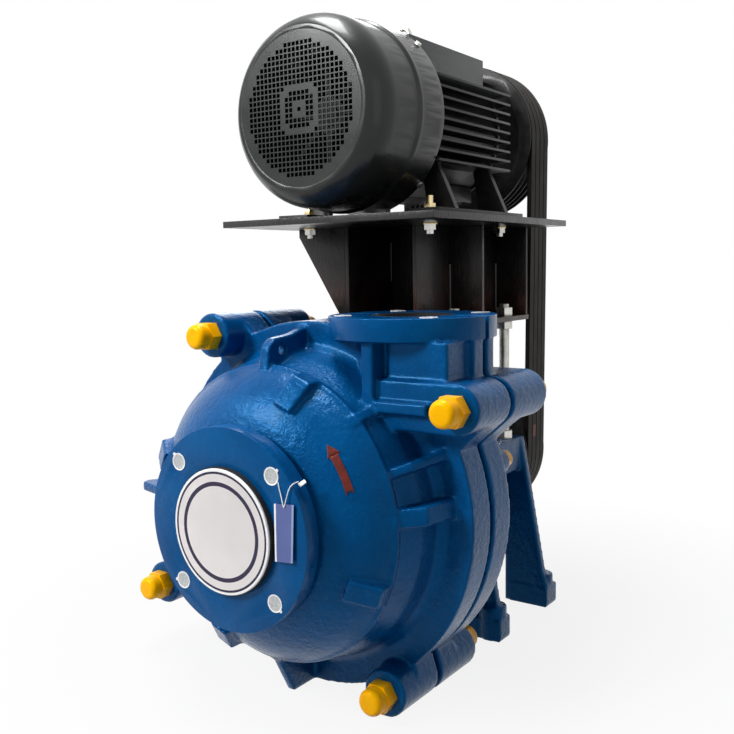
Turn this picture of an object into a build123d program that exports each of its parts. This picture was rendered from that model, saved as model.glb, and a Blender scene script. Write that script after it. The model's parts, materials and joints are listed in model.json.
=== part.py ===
from build123d import *
import os
from math import atan2, cos, radians, sin, sqrt, tan

os.makedirs("parts", exist_ok=True)

# Belt-driven slurry pump with its motor on top, in millimetres.
# The origin is on the floor at the centre of the four foot bolts; the suction faces -Y and +Z is up.
# Distances "behind the split" run along the pump shaft from the plane where the casing halves meet.

# Fits and clearances
seat_gap = 0.05     # radial gap of pieces fixed in one another
run_gap = 0.08      # radial gap of a turning or sliding fit
free_gap = 0.4      # gap between pieces that only pass each other
thread_gap = 0.2    # radial gap left for the thread of a stud in a tapped hole
bolt_gap = 1.0      # radial gap of a bolt in a drilled hole
nut_slide_gap = 0.35  # radial gap of a nut that slides along its stud with the piece it holds
cap_gap = 0.4       # gap between a plastic cap and what it covers

# Places of the shafts and feet
shaft_height = 300.0
split_y = -357.5
foot_span_x = 350.0
foot_span_y = 205.0
foot_hole_r = 11.0
plate_top_height = 761.0
motor_centre = 164.0
motor_height = plate_top_height + motor_centre

# Casing
split_gap = 10.0
suction_r = 76.0
suction_flange_r = 152.5
suction_flange_t = 26.0
suction_face = -248.0
suction_pcd = 260.0
suction_hole_r = 11.0
neck_r = 122.0
dome_front, dome_front_r = -215.0, 140.0
dome_edge, dome_edge_r = -150.0, 230.0
bead_h = 5.0
bead_w = 9.0
gutter, gutter_r = -100.0, 245.0
rim_front = -60.0
rim_r = 297.0
rim_x, rim_z = 10.0, -1.5
cavity_r = 240.0
casing_wall = 18.0
throat_bore_r = 92.0
rear_face, rear_face_r = 150.0, 190.0
rear_edge, rear_edge_r = 135.0, 226.0
rear_gutter, rear_gutter_r = 100.0, 250.0
box_bore_r = 95.0

# Cover bolts and their lugs
lug_r = 37.0
lug_neck = 18.0
lug_front, lug_rear = -104.0, 118.0
lug_centres = [(-160.0, 270.0), (303.0, 180.0), (-302.0, -181.0), (177.0, lug_r - shaft_height)]
ear_root_r = 228.0
ear_r = 58.0
bolt_r = 12.0
bolt_nut_flats = 36.0
bolt_nut_h = 19.0
bolt_end = 10.0

# Plastic caps: flats of the skirt, its height, whole height, radius of the round top and of its edge
cover_cap = (43.0, 20.5, 42.0, 20.6, 9.0)
rim_cap = (30.0, 14.5, 25.0, 14.2, 6.0)
clamp_cap = (28.0, 12.0, 24.0, 13.2, 6.0)

# Rim studs, behind the frame plate
rim_stud_places = [(268.0, 69.0), (-268.0, -69.0)]
rim_stud_r = 8.0
rim_boss_r = 21.0
rim_boss_rear = 96.0
rim_nut_flats = 24.0
rim_nut_h = 13.0
rim_stud_end = 5.0
rim_stud_hold = 35.0

# Discharge branch
discharge_x = 169.0
discharge_r = 51.0
discharge_top = 305.0
discharge_flange_r = 129.0
discharge_flange_t = 33.0
discharge_pcd = 215.0
discharge_hole_r = 9.5
branch_r = 85.0
branch_foot = 120.0
band_reach = 126.0
band_taper = 14.0
band_front, band_rear = -35.0, 28.0
y_rib_front = -116.0
y_rib_x, y_rib_w = 163.5, 19.0
y_rib_z, y_rib_h = 178.0, 17.0
panel = (185.0, 285.0, 216.0, 272.0)
panel_front = -94.0

# Wet end liners
liner_wall = 14.0
liner_half_w = 78.0
liner_crown = 20.0
passage_half_w = 56.0
insert_r = 150.0
branch_seal_h = 10.0
seal_proud = 9.0
seal_r = 95.0
disc_r = 93.5
disc_t = 3.0

# Impeller
impeller_r = 146.0
impeller_eye_r = 72.0
front_shroud, rear_shroud = -50.0, 50.0
shroud_t = 11.0
vane_count = 5
vane_t = 12.0
expeller_h = 8.0
hub_r = 44.0
thread_r = 22.0
thread_start = 10.0

# Gland end
sleeve_r = 38.0
sleeve_bore_r = 30.0
packing_bore_r = 50.0
packing_w = 10.0
lantern_w = 12.0
box_body_r = 64.0
box_rear = 204.0
box_seat = 118.0
packing_start = 148.0
gland_flange_t = 14.0
gland_flange_r = 58.0
gland_ear_r = 14.0
gland_stud_x = 66.0
gland_stud_r = 8.0
gland_nut_flats = 24.0
gland_nut_h = 13.0
gland_travel = 8.0
deflector_r = 46.0

# Pump frame
adaptor_r = 200.0
adaptor_bore_r = 112.0
adaptor_t = 20.0
adaptor_stud_r = 180.0
front_wall, rear_wall = 240.0, 436.0
wall_t = 18.0
wall_top = 40.0
wall_top_half = 142.0
wall_foot_half = 200.0
arch_half = 108.0
arch_top = -165.0
foot_w = 80.0
foot_h = 40.0
foot_boss_h = 62.0
foot_boss_r = 27.0
front_foot = (234.0, 277.0)
rear_foot = (435.0, 486.0)
rail_w = 24.0
rail_h = 27.0
rail_drop = 65.0
rail_web = 18.0
saddle_r = 86.0
cradle_t = 16.0
cradle_drop = 52.0
trough_r = 154.0
trough_drop = 80.0
rod_x = 120.0
rod_places = (215.0, 409.0)
rod_boss_r = 22.0

# Bearing assembly
housing_r = 84.0
housing_front, housing_rear = 262.0, 446.0
bearing_r = 60.0
bearing_bore_r = 32.5
bearing_w = 32.0
bearing_starts = (272.0, 396.0)
roller_count = 10
roller_r = 6.0
end_cover_t = 12.0
end_cover_r = 80.0
end_screw_flats = 13.0
end_screw_h = 5.0
clamp_x = 99.0
clamp_places = (273.0, 362.0)
clamp_lug_half, clamp_lug_t = 13.0, 18.0
ledge_half, ledge_w, ledge_t, ledge_out = 15.0, 50.0, 20.0, 12.0
clamp_bolt_r = 8.0
clamp_flats = 24.0
clamp_head_h = 10.0
clamp_nut_h = 10.0
clamp_bolt_end = 3.0
clamp_lug_end = 16.0
clamp_washer_w, clamp_washer_t = 25.0, 5.0

# Shaft
shaft_mid_r = 38.0
shaft_drive_r = 27.5
shaft_end = 552.0

# Belt drive
belt_count = 4
belt_pitch = 19.0
belt_top_half = 8.2
belt_h = 11.0
belt_angle = 19.0
belt_gap = 0.35
pump_belt_r = 143.0
motor_belt_r = 149.0
rim_below_belt = 1.0
groove_depth = 13.0
pulley_front = 466.0
pulley_edge = 12.5
pulley_web = 16.0

# Stool under the motor
stool_half_x = 73.0
stool_t = 8.0
stool_front, stool_rear = 160.0, 463.0
base_plate = (-146.0, 146.0, 172.0, 463.0)
base_plate_top = 581.0
base_plate_t = 9.0
top_plate = (-205.0, 222.0, -21.0, 466.0)
top_plate_t = 11.0
stool_rib_x = 144.0
stool_ribs = (278.0, 459.0)
stool_web = 300.0
front_gusset_x = 184.0
front_gusset_lip = 14.0
rod_r = 10.0
rod_top = 604.0
rod_nut_flats = 30.0
rod_nut_h = 16.0

# Motor
motor_foot_x = 127.0
motor_foot_places = (124.0, 376.0)
motor_stud_r = 6.0
motor_stud_end = 13.0
motor_nut_flats = 19.0
motor_nut_h = 9.0
motor_washer_r = 12.0
motor_washer_t = 2.5
motor_body_r = 114.0
motor_body = (122.0, 388.0)
motor_bore_r = 106.0
fin_tip_x = 145.0
fin_count = 9
fin_pitch = 17.0
fin_low = -72.0
fin_t = 4.0
under_fins = (-60.0, -40.0, -20.0, 0.0, 20.0, 40.0, 60.0)
under_fin_low, under_fin_top = -126.0, -98.0
top_fins = (-86.0, -70.0, 70.0, 86.0)
top_fin_low, top_fin_high = 65.0, 135.0
pad_half_x = 60.0
pad = (135.0, 340.0)
pad_top = 143.0
motor_foot_t = 12.0
motor_foot = (85.0, 390.0)
motor_foot_half = (103.0, 168.0)
foot_webs = (158.0, 340.0)
foot_web_t = 12.0
foot_web_top = (92.0, 120.0)
foot_web_top_z = -64.0
eye_place = 245.0
eye_thread_r, eye_thread_l, eye_hole_l = 6.0, 24.0, 30.0
eye_collar_r, eye_collar_t = 13.0, 7.0
eye_ring_r, eye_bar_r, eye_rise = 14.0, 4.5, 22.0
cover_face = -56.0
cover_face_r = 127.0
cover_flare = 46.0
cover_rear = 121.0
cover_r = 152.0
cover_rear_r = 158.0
cover_wall = 3.0
cover_screw_flats = 10.0
cover_screw_h = 4.0
grille_r = 120.0
grille_hole = 12.0
grille_pitch = 18.0
motor_shaft_r = 21.0
motor_seat_r = 22.5
rotor_r = 61.0
stator_bore_r = 62.0
core = (185.0, 325.0)
fan_r = 108.0
fan = (20.0, 72.0)
fan_blades = 8

shaft_axis = Axis((0, split_y, shaft_height), (0, 1, 0))
motor_axis = Axis((0, split_y, motor_height), (0, 1, 0))
quarter_angles = (45.0, 135.0, 225.0, 315.0)


def across(behind, x=0.0, z=0.0, height=shaft_height):
    # Plane across the shafts, facing the suction side; its local axes are X and height
    return Plane(origin=(x, split_y + behind, height + z), x_dir=(1, 0, 0), z_dir=(0, -1, 0))


def backwards(behind, x=0.0, z=0.0, height=shaft_height):
    # The same place, facing the drive end
    return Plane(origin=(x, split_y + behind, height + z), x_dir=(-1, 0, 0), z_dir=(0, 1, 0))


def along(x=0.0, height=shaft_height):
    # Plane along a shaft; its local axes are distance behind the split and height above that shaft
    return Plane(origin=(x, split_y, height), x_dir=(0, 1, 0), z_dir=(1, 0, 0))


def radial(angle):
    # Plane through the pump shaft at an angle up from +X; its local axes are distance behind the split and radius
    turn = radians(angle)
    return Plane(origin=(0, split_y, shaft_height), x_dir=(0, 1, 0), z_dir=(sin(turn), 0, -cos(turn)))


def level(height, x=0.0, behind=0.0):
    # Horizontal plane at a height above the floor
    return Plane(origin=(x, split_y + behind, height))


def turned(points, height=shaft_height):
    # Solid of revolution about a shaft from a closed outline of (distance behind the split, radius)
    with BuildPart() as ring:
        with BuildSketch(along(height=height)):
            with BuildLine():
                Polyline(*points, close=True)
            make_face()
        revolve(axis=Axis((0, split_y, height), (0, 1, 0)))
    return ring.part


def tube(front, rear, outer, inner, height=shaft_height):
    # Plain ring about a shaft
    return turned([(front, inner), (front, outer), (rear, outer), (rear, inner)], height)


def round_bars(planes, radius, length):
    # Plain round bars, each standing on its plane
    with BuildPart() as bars:
        with BuildSketch(*planes):
            Circle(radius)
        extrude(amount=length)
    return bars.part


def hex_nuts(planes, flats, height, bore):
    # Hexagon nuts, each seated on its plane
    with BuildPart() as nuts:
        with BuildSketch(*planes):
            RegularPolygon(radius=flats / 2, side_count=6, major_radius=False)
            Circle(bore, mode=Mode.SUBTRACT)
        extrude(amount=height)
    return nuts.part


def hex_heads(planes, flats, height):
    # Heads of hexagon screws, each seated on its plane
    with BuildPart() as heads:
        with BuildSketch(*planes):
            RegularPolygon(radius=flats / 2, side_count=6, major_radius=False)
        extrude(amount=height)
    return heads.part


def hex_bolts(planes, flats, head_h, radius, length):
    # Hexagon head bolts, each head standing on its plane and the shank running down from it
    with BuildPart() as bolts:
        add(hex_heads(planes, flats, head_h))
        with BuildSketch(*planes):
            Circle(radius)
        extrude(amount=-length)
    return bolts.part


def thread_caps(planes, flats, skirt_h, height, dome_r, crown, nut_flats, nut_h, stud_r, stud_end):
    # Push-on plastic caps: a hexagon skirt with a domed round top, hollow over the nut and the end of its stud
    with BuildPart() as cap:
        with BuildSketch():
            Circle(dome_r)
        extrude(amount=height)
        fillet(cap.edges().group_by(Axis.Z)[-1], crown)
        with BuildSketch():
            RegularPolygon(radius=flats / 2, side_count=6, major_radius=False)
        extrude(amount=skirt_h)
        with BuildSketch():
            RegularPolygon(radius=nut_flats / 2 + cap_gap, side_count=6, major_radius=False)
        extrude(amount=nut_h + cap_gap, mode=Mode.SUBTRACT)
        if stud_end:
            with BuildSketch(Plane.XY.offset(nut_h)):
                Circle(stud_r + cap_gap)
            extrude(amount=stud_end + cap_gap, mode=Mode.SUBTRACT)
    with BuildPart() as caps:
        with Locations(*planes):
            add(cap.part)
    return caps.part


def polar(radius, angles):
    # Points on a circle about a shaft, as (x, height)
    return [(radius * cos(radians(a)), radius * sin(radians(a))) for a in angles]


def finish(part, label):
    part.label = label
    export_step(part, f"parts/{label}.step")


# Outlines shared by both halves of the casing
def ear_outline(x, z):
    # Web from the round rim out to one cover bolt
    turn = atan2(z - rim_z, x - rim_x)
    root = (rim_x + ear_root_r * cos(turn), rim_z + ear_root_r * sin(turn))
    with BuildSketch() as ear:
        with Locations((x, z)):
            Circle(lug_r)
        with Locations(root):
            Circle(ear_r)
        make_hull()
    return ear.sketch


def rim_outline():
    # Split flange: the round rim and an ear to each cover bolt
    with BuildSketch() as outline:
        with Locations((rim_x, rim_z)):
            Circle(rim_r)
        for x, z in lug_centres:
            add(ear_outline(x, z))
    return outline.sketch


def band_outline():
    # Thinner part of the split flange beside the discharge branch
    band_low = lug_centres[1][1]
    band_high = discharge_top - discharge_flange_t
    with BuildSketch() as band:
        with BuildLine():
            Polyline(
                (discharge_x - band_reach, band_low),
                (discharge_x - band_reach + band_taper, band_high),
                (discharge_x + band_reach, band_high),
                (discharge_x + band_reach, band_low),
                close=True,
            )
        make_face()
    return band.sketch


def corner_lug_outline():
    # The four bolt lugs, with the one beside the discharge drawn out towards the branch
    reach = lug_centres[1][0] - discharge_x - lug_neck
    with BuildSketch() as lugs:
        with Locations(*lug_centres):
            Circle(lug_r)
        with Locations((lug_centres[1][0] - reach / 2, lug_centres[1][1])):
            SlotCenterToCenter(reach, 2 * lug_r)
    return lugs.sketch


def discharge_branch():
    # Round branch and flange on top of the casing, whole, before the casing is split
    with BuildPart() as branch:
        with BuildSketch(level(shaft_height + branch_foot, discharge_x)):
            Circle(branch_r)
        extrude(amount=discharge_top - discharge_flange_t - branch_foot)
        with BuildSketch(level(shaft_height + discharge_top - discharge_flange_t, discharge_x)):
            Circle(discharge_flange_r)
        extrude(amount=discharge_flange_t)
        with BuildSketch(level(shaft_height + discharge_top, discharge_x)):
            with PolarLocations(discharge_pcd / 2, 4, start_angle=45):
                Circle(discharge_hole_r)
        extrude(amount=-discharge_flange_t, mode=Mode.SUBTRACT)
    return branch.part


def liner_space(gap):
    # Room that the volute liner takes up, widened by a gap all round
    half = liner_half_w + gap
    with BuildPart() as space:
        add(turned([(-half, 0), (-half, 186), (-56, 226), (56, 226), (half, 186), (half, 0)]))
        add(tube(-liner_crown, liner_crown, cavity_r - seat_gap + gap, 200))
        with BuildSketch(level(shaft_height + 40, discharge_x)):
            Circle(discharge_r + liner_wall + gap)
        extrude(amount=discharge_top - 40)
    return space.part


def lug_bores(front, rear):
    # Bolt holes through the lugs
    return round_bars([across(rear, x, z) for x, z in lug_centres], bolt_r + bolt_gap, rear - front)


branch_bore_r = discharge_r + liner_wall + free_gap

# Cover plate, the suction half of the casing
rib_root = gutter_r - 12
cover_ribs = [
    # angle, thickness and outline of each rib on the side of the cover
    (90.0, 18.0, [(-164, 200), (-151, 262), (-138, 273), (-96, 277), (-60, 287), (-55, 240), (-150, 200)]),
    (22.0, 14.0, [(-152, 214), (-120, 262), (-60, 289), (-55, 240), (-120, rib_root), (-148, 212)]),
    (6.0, 28.0, [(-152, 222), (-118, 268), (-60, 282), (-55, 240), (-120, rib_root)]),
    (44.5, 16.0, [(-166, 214), (-150, 236), (y_rib_front, 246), (-60, 262), (-55, 240), (-120, rib_root)]),
    (-90.0, 16.0, [(-152, 225), (-112, shaft_height), (-60, shaft_height), (-55, 240), (-120, rib_root)]),
    (180.0, 16.0, [(-152, 225), (-128, 318), (-112, 324), (-60, 292), (-55, 240), (-120, rib_root)]),
]
lifting_hole = (-119.0, 255.0)
lifting_hole_r = 9.0
dome_blocks = (68.5, -21.5, -111.5, 158.5)

with BuildPart() as cover_plate:
    with BuildSketch(along()):
        with BuildLine():
            neck_back = suction_face + suction_flange_t
            Polyline(
                (0, 0), (suction_face, 0), (suction_face, suction_flange_r),
                (neck_back, suction_flange_r), (neck_back, neck_r), (dome_front, dome_front_r),
            )
            ThreePointArc((dome_front, dome_front_r), (-191, 193), (dome_edge, dome_edge_r))
            Polyline(
                (dome_edge, dome_edge_r), (dome_edge + 2, dome_edge_r + bead_h),
                (dome_edge + bead_w, dome_edge_r + bead_h), (dome_edge + bead_w + 3, dome_edge_r - 1),
                (gutter, gutter_r), (rim_front - 8, gutter_r + 6), (rim_front, gutter_r + 17), (0, gutter_r + 17),
                (0, 0),
            )
        make_face()
    revolve(axis=shaft_axis)
    with BuildSketch(across(0)):
        add(rim_outline())
    extrude(amount=-rim_front)
    with BuildSketch(across(0)):
        add(band_outline())
    extrude(amount=-band_front)
    with BuildSketch(across(0)):
        add(corner_lug_outline())
    extrude(amount=-lug_front)
    for angle, thickness, outline in cover_ribs:
        with BuildSketch(radial(angle)):
            with BuildLine():
                Polyline(*outline, close=True)
            make_face()
        extrude(amount=thickness / 2, both=True)
    for angle in dome_blocks:
        with BuildSketch(radial(angle)):
            with BuildLine():
                Polyline((-203, 194), (-172, 236), (-146, 236), (-146, 222), (-180, 188), close=True)
            make_face()
        extrude(amount=17, both=True)
    add(discharge_branch())
    rib_top = discharge_top - discharge_flange_t
    with BuildSketch(across(0)):
        with Locations((y_rib_x, (y_rib_z + rib_top) / 2)):
            Rectangle(y_rib_w, rib_top - y_rib_z)
        with Locations(((y_rib_x + lug_centres[1][0]) / 2, y_rib_z)):
            Rectangle(lug_centres[1][0] - y_rib_x + y_rib_w, y_rib_h)
    extrude(amount=-y_rib_front)
    with BuildSketch(across(0)):
        with Locations(((panel[0] + panel[1]) / 2, (panel[2] + panel[3]) / 2)):
            Rectangle(panel[1] - panel[0], panel[3] - panel[2])
    extrude(amount=-panel_front)
    with BuildSketch(across(lug_front)):
        with Locations(lug_centres[1]):
            Rectangle(2 * lug_r + 6, 2 * lug_r + 6)
    extrude(amount=20, mode=Mode.SUBTRACT)
    inner_dome = dome_front + casing_wall
    add(
        turned([
            (inner_dome, 0), (inner_dome, 128), (inner_dome + 24, 178), (dome_edge + casing_wall, 210),
            (gutter, gutter_r - casing_wall), (rim_front, cavity_r), (0, cavity_r), (0, 0),
        ]),
        mode=Mode.SUBTRACT,
    )
    add(round_bars([across(0)], throat_bore_r, -suction_face), mode=Mode.SUBTRACT)
    with BuildSketch(level(shaft_height, discharge_x)):
        Circle(branch_bore_r)
    extrude(amount=discharge_top, mode=Mode.SUBTRACT)
    with BuildSketch(across(suction_face)):
        with PolarLocations(suction_pcd / 2, 4, start_angle=45):
            Circle(suction_hole_r)
    extrude(amount=-suction_flange_t, mode=Mode.SUBTRACT)
    with BuildSketch(along(-lug_r)):
        with Locations(lifting_hole):
            Circle(lifting_hole_r)
    extrude(amount=2 * lug_r, mode=Mode.SUBTRACT)
    add(lug_bores(lug_front, 0), mode=Mode.SUBTRACT)
    add(round_bars([across(0, x, z) for x, z in rim_stud_places], rim_stud_r + thread_gap, 40), mode=Mode.SUBTRACT)
    split(bisect_by=across(-split_gap / 2), keep=Keep.TOP)
finish(cover_plate.part, "cover_plate")

# Frame plate, the drive half of the casing
frame_plate_ribs = [
    (4.0, 16.0, [(55, 240), (60, 288), (96, 262), (128, 228), (110, 226)]),
    (50.0, 14.0, [(55, 240), (60, 280), (128, 228), (110, 226)]),
    (150.0, 14.0, [(55, 240), (60, 286), (128, 228), (110, 226)]),
    (-125.0, 14.0, [(55, 240), (60, 286), (128, 228), (110, 226)]),
    (-30.0, 14.0, [(55, 240), (60, 286), (128, 228), (110, 226)]),
]
adaptor_studs = polar(adaptor_stud_r, quarter_angles)

with BuildPart() as frame_plate:
    add(
        turned([
            (0, 0), (0, gutter_r + 17), (-rim_front, gutter_r + 17), (-rim_front + 8, gutter_r + 6),
            (rear_gutter, rear_gutter_r), (rear_edge, rear_edge_r), (rear_face, rear_face_r + 20), (rear_face, 0),
        ])
    )
    with BuildSketch(across(-rim_front)):
        add(rim_outline())
    extrude(amount=-rim_front)
    with BuildSketch(across(band_rear)):
        add(band_outline())
    extrude(amount=band_rear)
    with BuildSketch(across(lug_rear)):
        add(corner_lug_outline())
    extrude(amount=lug_rear)
    with BuildSketch(across(rim_boss_rear)):
        with Locations(*rim_stud_places):
            Circle(rim_boss_r)
    extrude(amount=rim_boss_rear)
    for angle, thickness, outline in frame_plate_ribs:
        with BuildSketch(radial(angle)):
            with BuildLine():
                Polyline(*outline, close=True)
            make_face()
        extrude(amount=thickness / 2, both=True)
    add(discharge_branch())
    inner_rear = rear_face - casing_wall
    add(
        turned([
            (0, 0), (0, cavity_r), (-rim_front, cavity_r), (rear_gutter - 6, rear_gutter_r - casing_wall - 4),
            (rear_edge - casing_wall, 206), (inner_rear, 150), (inner_rear, 0),
        ]),
        mode=Mode.SUBTRACT,
    )
    add(round_bars([across(rear_face)], box_bore_r, rear_face), mode=Mode.SUBTRACT)
    with BuildSketch(level(shaft_height, discharge_x)):
        Circle(branch_bore_r)
    extrude(amount=discharge_top, mode=Mode.SUBTRACT)
    add(lug_bores(0, lug_rear), mode=Mode.SUBTRACT)
    add(
        round_bars([across(rim_boss_rear, x, z) for x, z in rim_stud_places], rim_stud_r + bolt_gap, rim_boss_rear),
        mode=Mode.SUBTRACT,
    )
    add(
        round_bars([across(rear_face, x, z) for x, z in adaptor_studs], bolt_r + thread_gap, casing_wall),
        mode=Mode.SUBTRACT,
    )
    split(bisect_by=across(split_gap / 2), keep=Keep.BOTTOM)
finish(frame_plate.part, "frame_plate")

# Volute liner, the wearing shell with its discharge pipe
liner_top = discharge_top - branch_seal_h
with BuildPart() as volute_liner:
    add(liner_space(0))
    with BuildSketch(level(shaft_height + liner_top, discharge_x)):
        Rectangle(3 * branch_r, 3 * branch_r)
    extrude(amount=2 * branch_seal_h, mode=Mode.SUBTRACT)
    with BuildSketch(along()):
        with BuildLine():
            Polyline((-passage_half_w, 0), (-passage_half_w, 178))
            ThreePointArc((-passage_half_w, 178), (0, 214), (passage_half_w, 178))
            Polyline((passage_half_w, 178), (passage_half_w, 0), (-passage_half_w, 0))
        make_face()
    revolve(axis=shaft_axis, mode=Mode.SUBTRACT)
    add(round_bars([across(2 * liner_half_w)], insert_r, 4 * liner_half_w), mode=Mode.SUBTRACT)
    with BuildSketch(level(shaft_height + 60, discharge_x)):
        Circle(discharge_r)
    extrude(amount=discharge_top, mode=Mode.SUBTRACT)
finish(volute_liner.part, "volute_liner")

# Throat bush, the front wearing disc with the inlet neck
throat_rear = front_shroud - 7
finish(
    turned([
        (suction_face + 2, suction_r), (suction_face + 2, throat_bore_r - seat_gap),
        (dome_front + casing_wall, throat_bore_r - seat_gap), (dome_front + casing_wall, throat_bore_r + 24),
        (-liner_half_w - 20, insert_r - seat_gap), (throat_rear, insert_r - seat_gap), (throat_rear, suction_r),
    ]),
    "throatbush",
)

# Rear wearing disc in front of the stuffing box
insert_front = rear_shroud + expeller_h + 4
finish(
    turned([
        (insert_front, hub_r + 16), (insert_front, insert_r - seat_gap), (liner_half_w + 8, insert_r - seat_gap),
        (liner_half_w + 8, box_bore_r - 4), (box_seat, box_bore_r - 4), (box_seat, hub_r + 16),
    ]),
    "frame_plate_liner",
)

# Rubber rings at the suction face and on top of the discharge pipe, and the plain inlet disc
finish(tube(suction_face - seal_proud, suction_face, seal_r, suction_r), "suction_seal")
disc_face = suction_face - seal_proud - disc_t
with BuildPart() as inlet_disc:
    with BuildSketch(across(suction_face - seal_proud)):
        Circle(disc_r)
    extrude(amount=disc_t)
    fillet(inlet_disc.edges().group_by(Axis.Y)[0], 1.2)
finish(inlet_disc.part, "inlet_disc")
with BuildPart() as discharge_seal:
    with BuildSketch(level(shaft_height + liner_top, discharge_x)):
        Circle(discharge_r + liner_wall)
        Circle(discharge_r, mode=Mode.SUBTRACT)
    extrude(amount=branch_seal_h)
finish(discharge_seal.part, "discharge_seal")

# Cover bolts, nuts and caps
stud_front, stud_rear = lug_front - bolt_nut_h - bolt_end, lug_rear + bolt_nut_h + bolt_end
rim_stud_rear = rim_boss_rear + rim_nut_h + rim_stud_end
with BuildPart() as cover_studs:
    add(round_bars([across(stud_rear, x, z) for x, z in lug_centres], bolt_r, stud_rear - stud_front))
    rim_stud_planes = [across(rim_stud_rear, x, z) for x, z in rim_stud_places]
    add(round_bars(rim_stud_planes, rim_stud_r, rim_stud_rear + rim_stud_hold))
finish(cover_studs.part, "cover_studs")
lug_faces = [across(lug_front, x, z) for x, z in lug_centres]
lug_faces += [backwards(lug_rear, x, z) for x, z in lug_centres]
rim_faces = [backwards(rim_boss_rear, x, z) for x, z in rim_stud_places]
with BuildPart() as cover_nuts:
    add(hex_nuts(lug_faces, bolt_nut_flats, bolt_nut_h, bolt_r + thread_gap))
    add(hex_nuts(rim_faces, rim_nut_flats, rim_nut_h, rim_stud_r + thread_gap))
finish(cover_nuts.part, "cover_nuts")

# Studs and nuts that hold the casing to the pump frame
adaptor_rear = rear_face + adaptor_t
frame_stud_rear = adaptor_rear + bolt_nut_h + 5
frame_stud_l = frame_stud_rear - rear_face + casing_wall - 1
with BuildPart() as frame_studs:
    add(round_bars([across(frame_stud_rear, x, z) for x, z in adaptor_studs], bolt_r, frame_stud_l))
    frame_nut_faces = [backwards(adaptor_rear, x, z) for x, z in adaptor_studs]
    add(hex_nuts(frame_nut_faces, bolt_nut_flats, bolt_nut_h, bolt_r + thread_gap))
finish(frame_studs.part, "frame_studs")

# Impeller: two shrouds, backward-curved vanes between them and expelling vanes behind
def vane_outlines():
    # Backward-curved vanes, each an arc of even thickness from the eye to the rim
    tip_r = impeller_r - vane_t / 2 - 1
    vanes = []
    for step in range(vane_count):
        turn = 360 / vane_count * step
        bend = [(66, 0), (108, 30), (tip_r, 70)]
        start, middle, end = [(r * cos(radians(turn - a)), r * sin(radians(turn - a))) for r, a in bend]
        with BuildSketch() as vane:
            with BuildLine():
                arc = ThreePointArc(start, middle, end)
                offset(arc, amount=vane_t / 2)
            make_face()
        vanes.append(vane.sketch)
    return vanes


with BuildPart() as impeller:
    with BuildSketch(along()):
        with BuildLine():
            Polyline(
                (front_shroud - 6, impeller_eye_r), (front_shroud - 6, impeller_eye_r + 12),
                (front_shroud, impeller_r), (front_shroud + shroud_t, impeller_r),
                (front_shroud + shroud_t, impeller_eye_r + 14), (front_shroud + 4, impeller_eye_r),
                close=True,
            )
        make_face()
        with BuildLine():
            Polyline(
                (rear_shroud - shroud_t, 0), (rear_shroud - shroud_t, impeller_r), (rear_shroud, impeller_r),
                (rear_shroud, hub_r), (rear_shroud + 12, hub_r), (rear_shroud + 12, 0),
                close=True,
            )
        make_face()
        with BuildLine():
            Polyline((rear_shroud - shroud_t, 0), (-8, 0), (-4, 22), (rear_shroud - shroud_t, 48), close=True)
        make_face()
    revolve(axis=shaft_axis)
    with BuildSketch(across(rear_shroud - shroud_t)):
        for vane in vane_outlines():
            add(vane)
    extrude(amount=rear_shroud - front_shroud - 2 * shroud_t)
    with BuildSketch(across(rear_shroud + expeller_h)):
        with PolarLocations((impeller_r + hub_r) / 2 + 8, 8):
            Rectangle(impeller_r - hub_r - 18, vane_t)
    extrude(amount=expeller_h)
    add(round_bars([across(rear_shroud + 12)], thread_r + seat_gap, rear_shroud + 12 - thread_start), mode=Mode.SUBTRACT)
finish(impeller.part, "impeller")

# Pump shaft, from the impeller thread to the pulley seat
shaft_steps = [
    (thread_start, thread_r), (rear_shroud + 12, sleeve_bore_r - seat_gap), (228, bearing_bore_r - seat_gap),
    (bearing_starts[0] + bearing_w, shaft_mid_r), (bearing_starts[1], bearing_bore_r - seat_gap),
    (pulley_front - 6, shaft_drive_r), (shaft_end, 0),
]
key_w, key_h = 16.0, 10.0
key_start, key_end = pulley_front + 4, pulley_front + 76
with BuildPart() as pump_shaft:
    points = [(shaft_steps[0][0], 0)]
    for (start, radius), (stop, _) in zip(shaft_steps, shaft_steps[1:]):
        points += [(start, radius), (stop, radius)]
    points.append((shaft_end, 0))
    add(turned(points))
    chamfer(pump_shaft.edges().filter_by(GeomType.CIRCLE).sort_by(Axis.Y)[-1], 2)
    with BuildSketch(across(key_end, 0, shaft_drive_r)):
        Rectangle(key_w, key_h)
    extrude(amount=key_end - key_start, mode=Mode.SUBTRACT)
finish(pump_shaft.part, "pump_shaft")

with BuildPart() as pump_key:
    with BuildSketch(across(key_end - seat_gap, 0, shaft_drive_r)):
        Rectangle(key_w - 2 * seat_gap, key_h - 2 * seat_gap)
    extrude(amount=key_end - key_start - 2 * seat_gap)
finish(pump_key.part, "pump_key")

finish(tube(rear_shroud + 12.2, 226, sleeve_r, sleeve_bore_r), "shaft_sleeve")

# Stuffing box with its packing, lantern ring and gland
with BuildPart() as stuffing_box:
    add(
        turned([
            (box_seat, sleeve_r + 3), (box_seat, box_bore_r - seat_gap), (rear_face, box_bore_r - seat_gap),
            (rear_face, box_body_r), (box_rear, box_body_r), (box_rear, packing_bore_r),
            (packing_start, packing_bore_r), (packing_start, sleeve_r + 3),
        ])
    )
    with BuildSketch(across(box_rear)):
        with Locations((-gland_stud_x, 0), (gland_stud_x, 0)):
            Circle(15)
            Circle(gland_stud_r + thread_gap, mode=Mode.SUBTRACT)
        Circle(packing_bore_r + 3, mode=Mode.SUBTRACT)
    extrude(amount=24)
    with BuildSketch(across(box_rear)):
        with Locations((-gland_stud_x, 0), (gland_stud_x, 0)):
            Circle(gland_stud_r + thread_gap)
    extrude(amount=24, mode=Mode.SUBTRACT)
finish(stuffing_box.part, "stuffing_box")

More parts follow.
